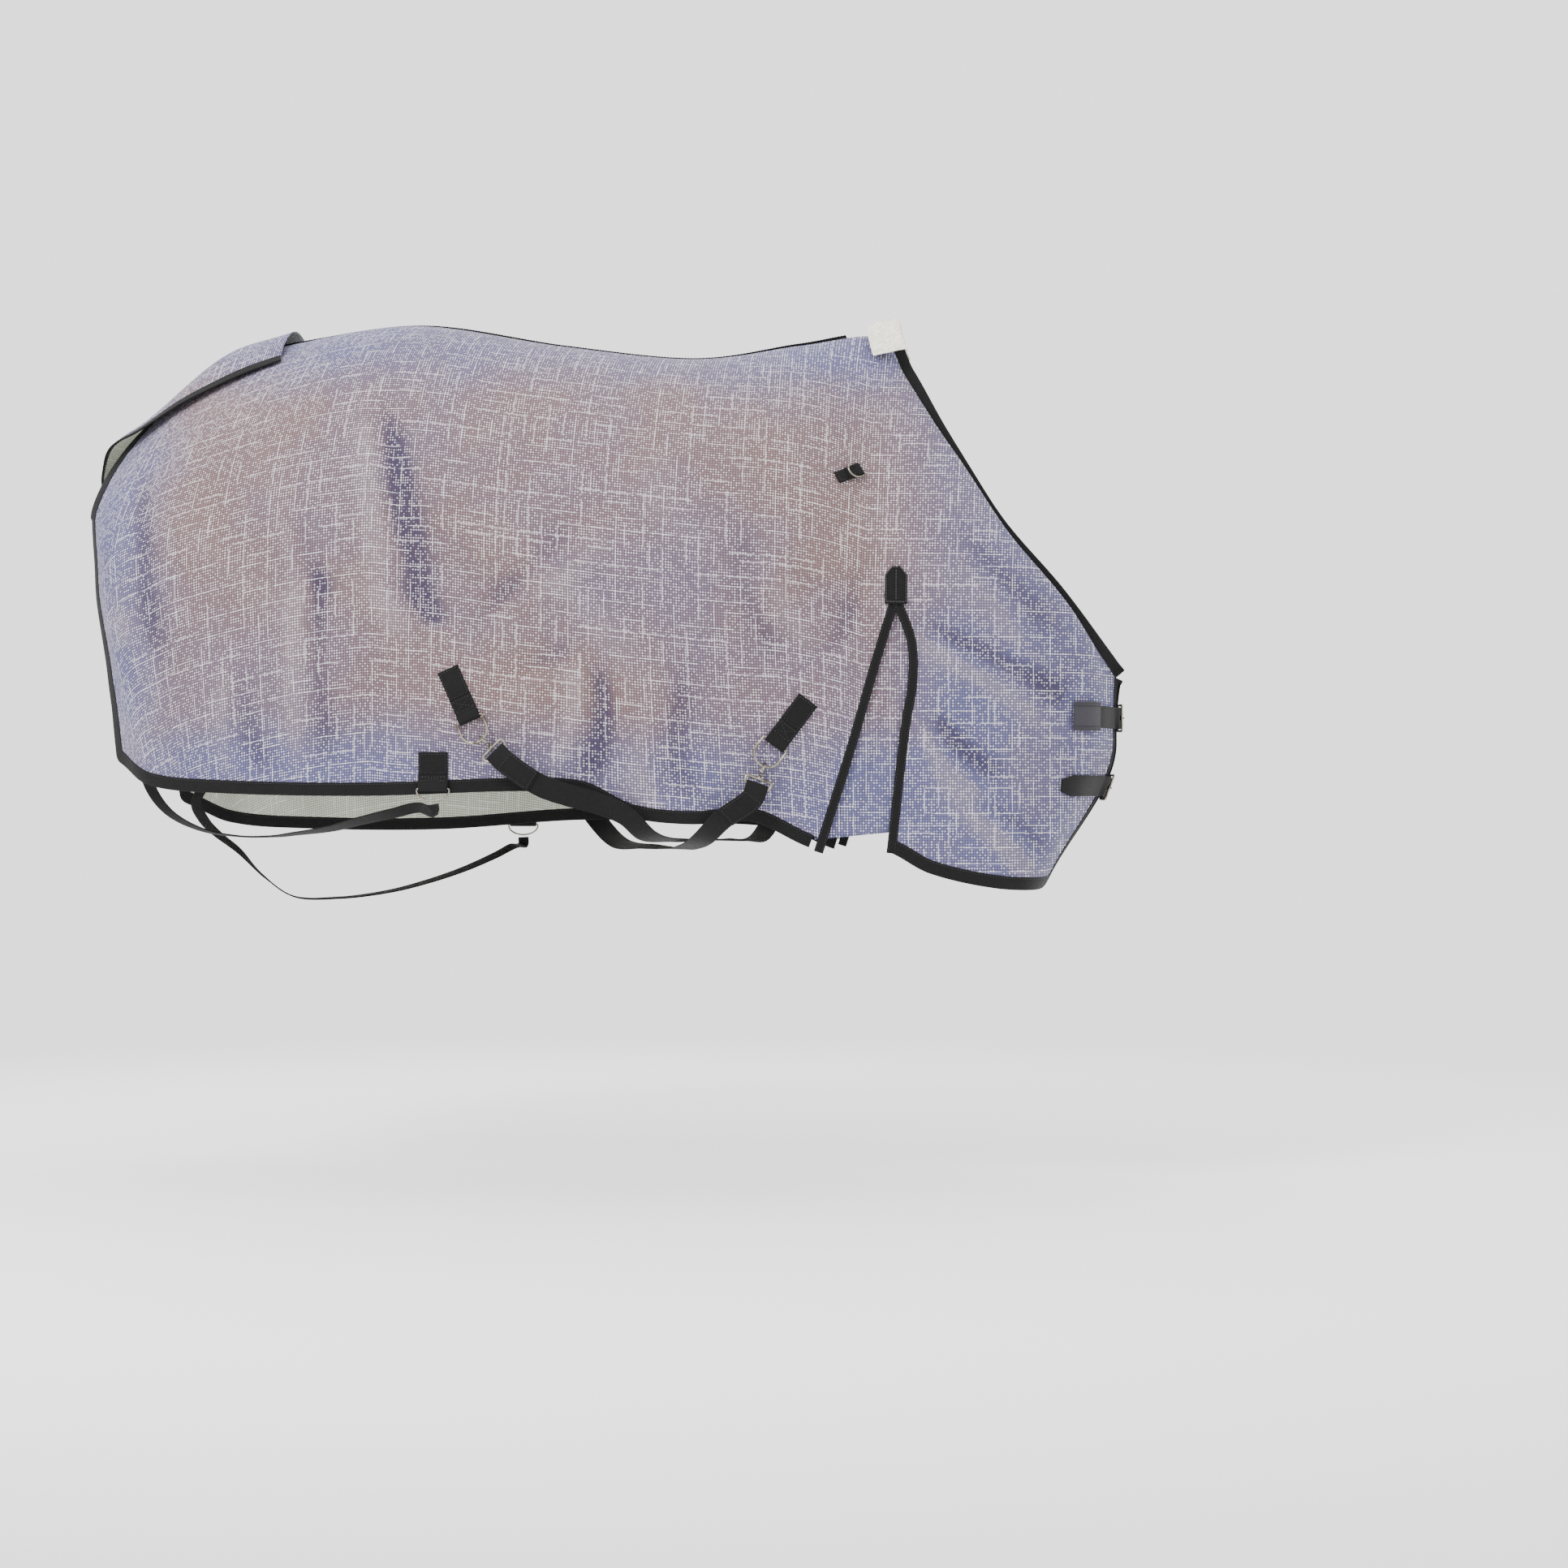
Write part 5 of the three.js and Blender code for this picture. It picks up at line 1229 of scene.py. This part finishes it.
class FLYSHEET_OT_bindings(bpy.types.Operator):
    """Makes the bindings round the panels and down the slits."""

    bl_idname = "flysheet.bindings"
    bl_label = "Bindings"

    def execute(self, context):
        trim = context.scene.flysheet_trim
        woven_finish("binding tape", tuple(trim.dark), tuple(trim.pale), ribs=0.0013)
        for side, name in SIDES:
            point = lambda s, t, side=side: cloth(side, s, t)
            hem_x = body_point(side, np.linspace(0, 1, 2001), 1.0)[:, 0]
            beyond = SLIT_BINDING / 2 + SLIT_CLEARANCE
            rear_s, front_s = (
                float(np.interp(slit_curve(key, 1.0)[0] + way * beyond, hem_x,
                                np.linspace(0, 1, 2001)))
                for key, way in (("rear", -1), ("front", 1)))
            rear = edge_band(point, [(0, 0.012), (0, 1), (rear_s, 1)], [150, 300])
            front = edge_band(point, [(front_s, 1), (1, 1), (1, 0)], [90, 110])
            parting = WITHERS + 1 / 32
            neck = list(edge_band(point, [(parting, 0), (1, 0)], [150]))
            run = unit(np.gradient(neck[0], axis=0))
            up = unit(np.cross(run, v(0, 1, 0)))
            stand = neck[1] + (up - neck[1]) * NECK_STAND
            neck[1] = unit(stand - run * (stand * run).sum(axis=1, keepdims=True))
            out = unit(np.cross(neck[1], run))
            neck[2] = out * np.where(out[:, 1:2] * side < 0, -1, 1)
            for piece, frames in (("rear_hem", rear), ("front_hem", front),
                                  ("neck", tuple(neck))):
                part = Part()
                bound(part, frames, -2.5, GAP + BINDING)
                make(f"{name}_{piece}_tape", part, ["binding tape", "thread"], "sheet",
                     [f"{name}_{piece}_binding"])
            part = Part()
            for key in ("rear", "front"):
                spot = slit_curve(key, np.linspace(0, 1, 110))
                p, n = on_side(side, spot[:, 0], spot[:, 1])
                frames = framed(p, n)
                sweep(part, frames, flat_section(-SLIT_BINDING / 2, SLIT_BINDING / 2,
                                                 BINDING_THICK, 0.2))
                for row in (-1, 1):
                    seam(part, frames, row * (SLIT_BINDING / 2 - 2.6), BINDING_THICK / 2 + 0.1)
            make(f"{name}_slit_tape", part, ["binding tape", "thread"], "sheet",
                 [f"{name}_slit_binding"])
        return {"FINISHED"}


class FLYSHEET_OT_flap(bpy.types.Operator):
    """Makes the tail flap and its binding."""

    bl_idname = "flysheet.flap"
    bl_label = "Tail flap"

    def execute(self, context):
        nu, nv = 150, 96
        u, w = shares(nu, nv)
        p = flap_cloth(u, w)[0]
        run = distances(p[:, nv // 2])[:, None] + np.zeros(nv + 1)
        wide = (2 * w - 1) * 0.13
        part = Part()
        part.add(p, paving(nu, nv, turned=True), 0, np.stack([run / 1000, wide], axis=2))
        obj = make("tail_flap_mesh", part, ["fly mesh"], "flap", ["tail_flap"])
        lined(obj, context.scene.flysheet_cloth.lining, "fly mesh, inner face, painted backlight")
        frames = edge_band(flap_cloth, [(0, 0), (1, 0), (1, 1), (0, 1)], [130, 70, 130])
        part = Part()
        bound(part, frames, -2.2, GAP + FLAP_BINDING)
        make("tail_flap_tape", part, ["binding tape", "thread"], "flap",
             ["tail_flap_binding"])
        return {"FINISHED"}


class FLYSHEET_OT_fleece(bpy.types.Operator):
    """Makes the fleece pad over the withers and the tape along the back."""

    bl_idname = "flysheet.fleece"
    bl_label = "Fleece and spine tape"

    def execute(self, context):
        fleece_finish("curled fleece")

        def point(u, w):
            a = 2 * w - 1
            x = -2 + 58 * u + 15 * a * a
            y = a * (76 - 2 * u)
            z = 12 + 12 * u - 60 * np.abs(a) ** 1.5
            return np.stack(np.broadcast_arrays(x, y, z), axis=-1)

        nu, nv = 96, 250
        part = Part()
        u, w = shares(nu, nv)
        p, n, _, _ = surface_frame(point, u, w)
        rim = smooth(np.minimum(u, 1 - u), 0, 0.13) * smooth(np.minimum(w, 1 - w), 0, 0.05)
        layers = []
        for face in (1, -1):
            q = p + n * face * (4.6 * np.sqrt(np.maximum(rim, 0.02)))[..., None]
            flat = q.reshape(-1, 3)
            curl = np.array([noise.voronoi(Vector(c) / 6.5)[0][0] for c in flat.tolist()])
            tuft = np.array([noise.fractal(Vector(c) / 15.0, 1.0, 2.0, 4) for c in flat.tolist()])
            rough = (2.4 * (0.5 - curl) + 1.7 * tuft).reshape(u.shape)
            layers.append(q + n * face * (rough * (0.35 + 0.65 * rim))[..., None])
        for face, q in zip((1, -1), layers):
            part.add(q, paving(nu, nv, turned=face < 0), 0,
                     np.stack([u * 0.06, w * 0.2], axis=2))
        size = (nu + 1) * (nv + 1)
        ring_ids = ([i * (nv + 1) for i in range(nu)] + [nu * (nv + 1) + j for j in range(nv)]
                    + [i * (nv + 1) + nv for i in range(nu, 0, -1)] + list(range(nv, 0, -1)))
        walls = [(a, b, b + size, a + size) for a, b in zip(ring_ids, ring_ids[1:] + ring_ids[:1])]
        part.faces += [wall[::-1] for wall in walls]
        part.finish += [0] * len(walls)
        obj = make("withers_fleece_pad", part, ["curled fleece"], "sheet", ["withers_fleece"],
                   sharp=180)

        s = np.linspace(2.2 / 32, 17.4 / 32, 160)
        line = body_frame(NEAR, s, 0.0)[0]
        line = np.stack([line[:, 0], np.zeros(160), line[:, 2]], axis=1)
        frames = framed(line, np.tile(v(0, 0, 1), (160, 1)))
        raised = (line + frames[2] * (FABRIC / 2 + 1 + WEB_THICK / 2), frames[1], frames[2])
        part = Part()
        sweep(part, raised, flat_section(-12, 12, WEB_THICK, 0.2))
        for row in (-1, 1):
            seam(part, raised, row * 9, WEB_THICK / 2 + 0.1)
        sewn("spine_webbing", part, "spine_tape")
        return {"FINISHED"}


class FLYSHEET_OT_fittings(bpy.types.Operator):
    """Makes the sewn tabs and patches with their rings, hooks and gates."""

    bl_idname = "flysheet.fittings"
    bl_label = "Tabs, rings and hooks"

    def execute(self, context):
        for spot, (loop, lean, _) in SURCINGLE.items():
            at, height, seat = surcingle_seat(spot)
            name = f"near_{spot}_surcingle"
            sew_tab(name, NEAR, at, WEB, TAB_LENGTH, TAB_FOLD, RING_WIRE, SURCINGLE_BASE)
            ring(f"{name}_d_ring", at, WEB, RING_DEPTH, RING_WIRE, RING_TILT, height,
                 f"{spot}_surcingle_ring", f"{name}_ring")
            hook(f"{name}_snap", f"{name}_snap_gate", seat, WEB, HOOK_WIRE, HOOK_MOUTH,
                 RING_DEPTH, (f"{spot}_surcingle_hook", f"{spot}_surcingle_gate"),
                 (f"{name}_hook", f"{name}_gate"))
            far_at = place(FAR, loop, lean)
            part = Part()
            line = refine(in_plane([[-TAB_LENGTH, PATCH_LIFT], [-TAB_LENGTH / 2, PATCH_LIFT],
                                    [0, PATCH_LIFT]]), 3)
            sweep(part, seated(far_at, line), flat_section(-WEB / 2, WEB / 2, WEB_THICK, 0.15))
            box_seam(part, far_at, WEB, 3.5 - TAB_LENGTH, -4,
                     PATCH_LIFT + WEB_THICK / 2 + 0.2, cross=True)
            drape(far_at, FAR, part)
            sewn(f"far_{spot}_webbing_patch", part, f"far_{spot}_surcingle_patch")
        for side, name in SIDES:
            at = place(side, HEM_TABS[name], 0)
            sew_tab(f"{name}_hem", side, at, *HEM_TAB, SMALL_WIRE, HEM_BASE)
            ring(f"{name}_hem_d_ring", at, HEM_TAB[0], HEM_RING, SMALL_WIRE, plumb(at),
                 bar_height(SMALL_WIRE, HEM_BASE), f"{name}_hem_ring", f"{name}_hem_ring")
            at, height, seat = tail_seat(side, name)
            sew_tab(f"{name}_tail", side, at, *TAIL_TAB, SMALL_WIRE, TAIL_BASE)
            ring(f"{name}_tail_d_ring", at, LEG_WEB, TAIL_RING, SMALL_WIRE, RING_TILT, height,
                 f"{name}_tail_ring", f"{name}_tail_ring")
            hook(f"{name}_leg_snap", f"{name}_leg_snap_gate", seat, LEG_WEB, SNAP_WIRE,
                 SNAP_MOUTH, TAIL_RING, (f"{name}_leg_strap_hook", f"{name}_leg_strap_gate"),
                 (f"{name}_leg_strap_hook", f"{name}_leg_strap_gate"))
            loop, lean, tilt = SHOULDER
            at = place(side, loop, lean)
            sew_tab(f"{name}_shoulder", side, at, *SHOULDER_TAB, SMALL_WIRE, SHOULDER_BASE)
            ring(f"{name}_shoulder_d_ring", at, SHOULDER_TAB[0], SHOULDER_RING, SMALL_WIRE,
                 tilt, bar_height(SMALL_WIRE, SHOULDER_BASE), f"{name}_shoulder_ring",
                 f"{name}_shoulder_ring")
            self.apex_patch(side, name)
        return {"FINISHED"}

    def apex_patch(self, side, name):
        """The patch over the top of a slit, stitched round its edge and down its middle."""

        def spot(w, q):
            return (63 + (2 * w - 1) * WEB / 2 * np.minimum(1, 0.3 + 3 * q),
                    -492 + 64 * (1 - q) - 4)

        nu, nv = 24, 40
        x, z = (a.ravel() for a in spot(*shares(nu, nv)))
        p, n = on_side(side, x, z)
        lift = HEM_BASE + WEB_THICK / 2
        part = Part()
        part.add(p + n * lift, paving(nu, nv, turned=side == FAR), 0,
                 np.stack([x, z], axis=1) / 1000)
        rows = [(0.06, 0.04, 0.06, 0.96), (0.94, 0.04, 0.94, 0.96), (0.06, 0.95, 0.94, 0.95),
                (0.1, 0.04, 0.9, 0.04), (0.5, 0.1, 0.5, 0.9)]
        for w0, q0, w1, q1 in rows:
            r = np.linspace(0, 1, 10)
            p, n = on_side(side, *spot(w0 + (w1 - w0) * r, q0 + (q1 - q0) * r))
            stitches(part, framed(p + n * (lift + WEB_THICK / 2 + 0.1), n))
        thickened(sewn(f"{name}_gusset_webbing", part, f"{name}_gusset_patch"),
                  WEB_THICK / 1000)


# ---- breast closure ----
def breast_frames(z):
    """Frames across the breast at a height, by distance from the middle."""
    count, even = 40, 16
    rows = []
    for side in (NEAR, FAR):
        s = 0.8 + 0.2 * np.arange(count + 1) / count
        low, high = np.zeros(count + 1), np.ones(count + 1)
        for _ in range(18):
            mid = (low + high) / 2
            below = body_point(side, s, mid)[:, 2] > z
            low, high = np.where(below, mid, low), np.where(below, high, mid)
        rows.append(body_frame(side, s, low)[:3])
    (p0, n0, a0), (p1, n1, _) = rows
    ridge = p0[-1] + a0[-1] * (-p0[-1, 1] / a0[-1, 1])
    ridge[1] = 0
    middle = unit(n0[-1] * v(1, 0, 1))
    p = np.vstack([p0, ridge, p1[::-1]])
    n = np.vstack([n0, middle, n1[::-1]])
    tilt = np.array([n[max(0, k - even):k + even + 1, 2].mean() for k in range(len(n))])
    flat = unit(n * v(1, 1, 0)) * np.sqrt(1 - tilt**2)[:, None]
    n = flat + np.outer(tilt, v(0, 0, 1))
    run = distances(p)
    centre = run[count + 1]

    def at(distance):
        want = centre + distance
        k = int(np.searchsorted(run, want, side="right")) - 1
        share = (want - run[k]) / (run[k + 1] - run[k])
        return (p[k] + (p[k + 1] - p[k]) * share, unit(n[k] + (n[k + 1] - n[k]) * share),
                unit(p[k + 1] - p[k]))
    return at


def steady(a, b, height, count):
    return [(a + (b - a) * k / count, height) for k in range(count + 1)]


def sweep_slotted(part, frames, section, hole, taper=1.0):
    """A flat strap, slotted along its middle where hole is set, so that a prong can stand in it.

    taper narrows the strap and leaves its thickness as it is.
    """
    p, o, n = frames
    narrowed = o * np.reshape(taper, (-1, 1))
    marks = list(np.flatnonzero(np.diff(hole.astype(int))) + 1)
    half = section[:, 0].max()
    for a, b in zip([0] + marks, marks + [len(p)]):
        lap = slice(a, min(b + 1, len(p)))
        if len(p[lap]) < 2:
            continue
        if hole[a]:
            for low, high in ((-half, -SLOT_HALF), (SLOT_HALF, half)):
                sweep(part, (p[lap], o[lap], n[lap]), flat_section(low, high, WEB_THICK, 0.1))
        else:
            sweep(part, (p[lap], narrowed[lap], n[lap]), section)


class FLYSHEET_OT_breast(bpy.types.Operator):
    """Makes the two breast straps, their buckles, anchors and the blank label."""

    bl_idname = "flysheet.breast"
    bl_label = "Breast straps"

    def execute(self, context):
        woven_finish("blank label", linear(34, 33, 38), linear(66, 64, 72), ribs=0.0009, rough=0.6)
        for name, (z, start, end) in BREAST.items():
            frame_at = breast_frames(z)
            outer = BUCKLE_AT - BUCKLE_DEPTH
            here_p, here_n, here_along = frame_at(BUCKLE_AT)
            back = unit(-here_along + here_n * here_along.dot(here_n))
            at = np.eye(4)
            at[:3, 0], at[:3, 1] = np.cross(back, here_n), back
            at[:3, 2], at[:3, 3] = here_n, here_p

            def ribbon(pairs, gap=2.0):
                p, o = [], []
                for distance, height in pairs:
                    q, n, along = frame_at(distance)
                    beyond = max(outer - 1 - distance, distance - BUCKLE_AT - 12, 0)
                    loose = float(smooth(beyond, 0, 16))
                    flat = here_p + back * (BUCKLE_AT - distance)
                    n = unit(here_n + (n - here_n) * loose)
                    along = here_along + (along - here_along) * loose
                    o.append(unit(np.cross(along, n)))
                    p.append(flat + (q - flat) * loose + n * height)
                p, o = np.array(p), np.array(o)
                return refine((p, o, unit(np.cross(o, headings(p)))), gap)

            bar, over, top = LEVEL["bar"], LEVEL["over"], LEVEL["top"]
            pairs = steady(start, outer - 8, LEVEL["strap"], 14) + [
                (outer, LEVEL["strap"]), (outer + 6, LEVEL["strap"] + 1.4),
                (outer + 13, bar + 0.6), (outer + 20, over - 1.4), (BUCKLE_AT, over),
                (BUCKLE_AT + 8, over - 1), (BUCKLE_AT + 18, top + 2.4),
            ] + steady(BUCKLE_AT + 28, end, top, 4)
            frames = ribbon(pairs)
            part = Part()
            run = distances(frames[0])
            point_end = np.clip((run[-1] - run) / 16, 0, 1)
            taper = 0.35 + 0.65 * np.sqrt(point_end)
            section = flat_section(-WEB / 2, WEB / 2, WEB_THICK, 0.12)
            if name == "lower":
                taper = taper * (0.55 + 0.45 * np.clip(run / 26, 0, 1))
            eyelet_run = run[np.argmin(np.abs(run - (BUCKLE_AT - start)))]
            hole = (run > eyelet_run - 20) & (run < eyelet_run + 3.5)
            sweep_slotted(part, frames, section, hole, taper)
            for row in (-1, 1):
                for lap in (run < eyelet_run - 32, run > eyelet_run + 14):
                    q = [a[lap] for a in frames]
                    if len(q[0]) > 8:
                        seam(part, [a[3:-6] for a in q], row * (WEB / 2 - 3.2),
                             WEB_THICK / 2 + 0.1)
            sewn(f"{name}_breast_webbing", part, f"{name}_breast_strap")

            r = loop_radius(BAR_WIRE, WEB_THICK)
            fold = steady(BUCKLE_AT + 84, BUCKLE_AT + 20, LEVEL["anchor"], 5)
            fold.append((BUCKLE_AT + 2.4 * r, bar - r - 0.6))
            for k in range(7):
                a = -math.pi / 2 + k * math.pi / 6
                fold.append((BUCKLE_AT - r * math.cos(a), bar + r * math.sin(a)))
            fold.append((BUCKLE_AT + 1.5 * r, bar + r * 0.7))
            frames = ribbon(fold, 1.2)
            part = Part()
            local = moved(np.linalg.inv(at), frames[0])
            hole = (np.abs(local[:, 1] - 0.2 * r) < 2.4 * r) & (np.abs(local[:, 2] - bar) < 3 * r)
            sweep_slotted(part, frames, section, hole)
            run = distances(frames[0])
            lap = run < 58
            for row in (-1, 1):
                seam(part, [a[lap] for a in frames], row * (WEB / 2 - 3), WEB_THICK / 2 + 0.1)
            sewn(f"{name}_breast_anchor_webbing", part, f"{name}_breast_anchor")

            half = WEB / 2 + 2 + BAR_WIRE / 2
            part = Part()
            sweep(part, seated(at, rounded_box(half, BUCKLE_DEPTH, 0, 3.5, bar, 4)),
                  round_section(BAR_WIRE), closed=True)
            metal(f"{name}_breast_buckle_frame", part, "sheet", f"{name}_breast_buckle")
            clear = BAR_WIRE / 2 + TONGUE_WIRE / 2 + GAP
            line = refine(in_plane([[clear, bar], [BUCKLE_DEPTH / 2, bar + clear / 2],
                                    [BUCKLE_DEPTH - 3, bar + clear],
                                    [BUCKLE_DEPTH + 2, bar + clear]]), 1.2)
            part = Part()
            shrink = np.linspace(1.0, 0.8, len(line[0]))
            shrink[-1] = 0.45
            sweep(part, seated(at, line), round_section(TONGUE_WIRE), taper=shrink)
            metal(f"{name}_breast_prong", part, f"{name}_breast_tongue",
                  f"{name}_breast_tongue")
            if name == "upper":
                plate = steady(start - 4, start + LABEL[0], LEVEL["strap"] + WEB_THICK + 0.5, 4)
                frames = ribbon(plate)
                part = Part()
                sweep(part, frames, flat_section(-LABEL[1] / 2, LABEL[1] / 2, WEB_THICK, 0.35))
                for row in (-1, 1):
                    seam(part, frames, row * (LABEL[1] / 2 - 2.6), WEB_THICK / 2 + 0.15)
                    seam(part, frames, row * (LABEL[1] / 2 - 7.5), WEB_THICK / 2 + 0.25,
                         length=2.2, gap=0.4, wide=1.3)
                make("breast_label_patch", part, ["blank label", "thread"], "sheet",
                     ["breast_label"])
        return {"FINISHED"}


# ---- stage ----
class FLYSHEET_OT_stage(bpy.types.Operator):
    """Makes the camera, the lights, the pale world and the floor."""

    bl_idname = "flysheet.stage"
    bl_label = "Camera, lights and floor"

    def execute(self, context):
        scene = context.scene
        settings = scene.flysheet_stage
        camera = bpy.data.objects.new("Camera", bpy.data.cameras.new("Camera"))
        camera.location = (0.330, -5.492, -0.798)
        camera.rotation_euler = (math.radians(90), 0, math.radians(5))
        camera.data.lens = settings.lens
        scene.collection.objects.link(camera)
        scene.camera = camera
        world = bpy.data.worlds.new("Pale studio")
        world.use_nodes = True
        world.node_tree.nodes["Background"].inputs[0].default_value = (1, 1, 1, 1)
        world.node_tree.nodes["Background"].inputs[1].default_value = 2.0
        scene.world = world
        target = Vector((-0.45, 0, -0.45))
        for name, spot, size, power in (
                ("Key", (-2.6, -3.6, 2.8), 1.6, 260), ("Fill", (3.2, -3.6, 0.6), 3.0, 25),
                ("Top", (-0.4, 0.6, 3.4), 3.0, 70), ("Back", (-2.4, 4.0, 1.6), 3.0, 60)):
            lamp = bpy.data.lights.new(name, "AREA")
            lamp.energy, lamp.size = power, size
            obj = bpy.data.objects.new(name, lamp)
            obj.location = spot
            obj.rotation_euler = (target - Vector(spot)).to_track_quat("-Z", "Y").to_euler()
            scene.collection.objects.link(obj)
        floor_finish("floor", settings)
        mesh = bpy.data.meshes.new("floor")
        count, rings = 96, 24
        points, faces = [(0, 0, 0)], []
        for k in range(1, rings + 1):
            radius = settings.radius * k / rings
            points += [(radius * math.cos(2 * math.pi * i / count),
                        radius * math.sin(2 * math.pi * i / count), 0) for i in range(count)]
        faces += [(0, 1 + i, 1 + (i + 1) % count) for i in range(count)]
        for k in range(rings - 1):
            a, b = 1 + k * count, 1 + (k + 1) * count
            faces += [(a + i, b + i, b + (i + 1) % count, a + (i + 1) % count)
                      for i in range(count)]
        mesh.from_pydata(points, [], faces)
        mesh.uv_layers.new(name="cloth")
        mesh.materials.append(bpy.data.materials["floor"])
        floor = bpy.data.objects.new("floor", mesh)
        floor.location = (-0.45, 0, -settings.drop)
        scene.collection.objects.link(floor)
        return {"FINISHED"}


class FLYSHEET_OT_finishes(bpy.types.Operator):
    """Makes the finishes that several pieces share."""

    bl_idname = "flysheet.finishes"
    bl_label = "Shared finishes"

    def execute(self, context):
        trim = context.scene.flysheet_trim
        woven_finish("close webbing", tuple(trim.dark), tuple(trim.pale), ribs=0.002)
        nickel_finish("nickel")
        return {"FINISHED"}


class FLYSHEET_PT_panel(bpy.types.Panel):
    """Lists the steps that build the fly sheet."""

    bl_idname = "FLYSHEET_PT_panel"
    bl_label = "Fly sheet"
    bl_space_type = "VIEW_3D"
    bl_region_type = "UI"
    bl_category = "Fly sheet"

    def draw(self, context):
        for group in ("flysheet_cloth", "flysheet_trim", "flysheet_stage"):
            settings = getattr(context.scene, group)
            for key in settings.__annotations__:
                self.layout.prop(settings, key)
        for step in STEPS:
            self.layout.operator(step.bl_idname)


STEPS = (FLYSHEET_OT_stage, FLYSHEET_OT_straps, FLYSHEET_OT_finishes, FLYSHEET_OT_panels,
         FLYSHEET_OT_bindings, FLYSHEET_OT_flap, FLYSHEET_OT_fleece, FLYSHEET_OT_fittings,
         FLYSHEET_OT_breast)
GROUPS = (FlySheetCloth, FlySheetTrim, FlySheetStage)


def register():
    for cls in GROUPS + STEPS + (FLYSHEET_PT_panel,):
        bpy.utils.register_class(cls)
    bpy.types.Scene.flysheet_cloth = bpy.props.PointerProperty(type=FlySheetCloth)
    bpy.types.Scene.flysheet_trim = bpy.props.PointerProperty(type=FlySheetTrim)
    bpy.types.Scene.flysheet_stage = bpy.props.PointerProperty(type=FlySheetStage)


def unregister():
    for name in ("flysheet_cloth", "flysheet_trim", "flysheet_stage"):
        delattr(bpy.types.Scene, name)
    for cls in reversed(GROUPS + STEPS + (FLYSHEET_PT_panel,)):
        bpy.utils.unregister_class(cls)


def main():
    register()
    for step in STEPS:
        area, name = step.bl_idname.split(".")
        getattr(getattr(bpy.ops, area), name)()


if __name__ == "__main__":
    main()
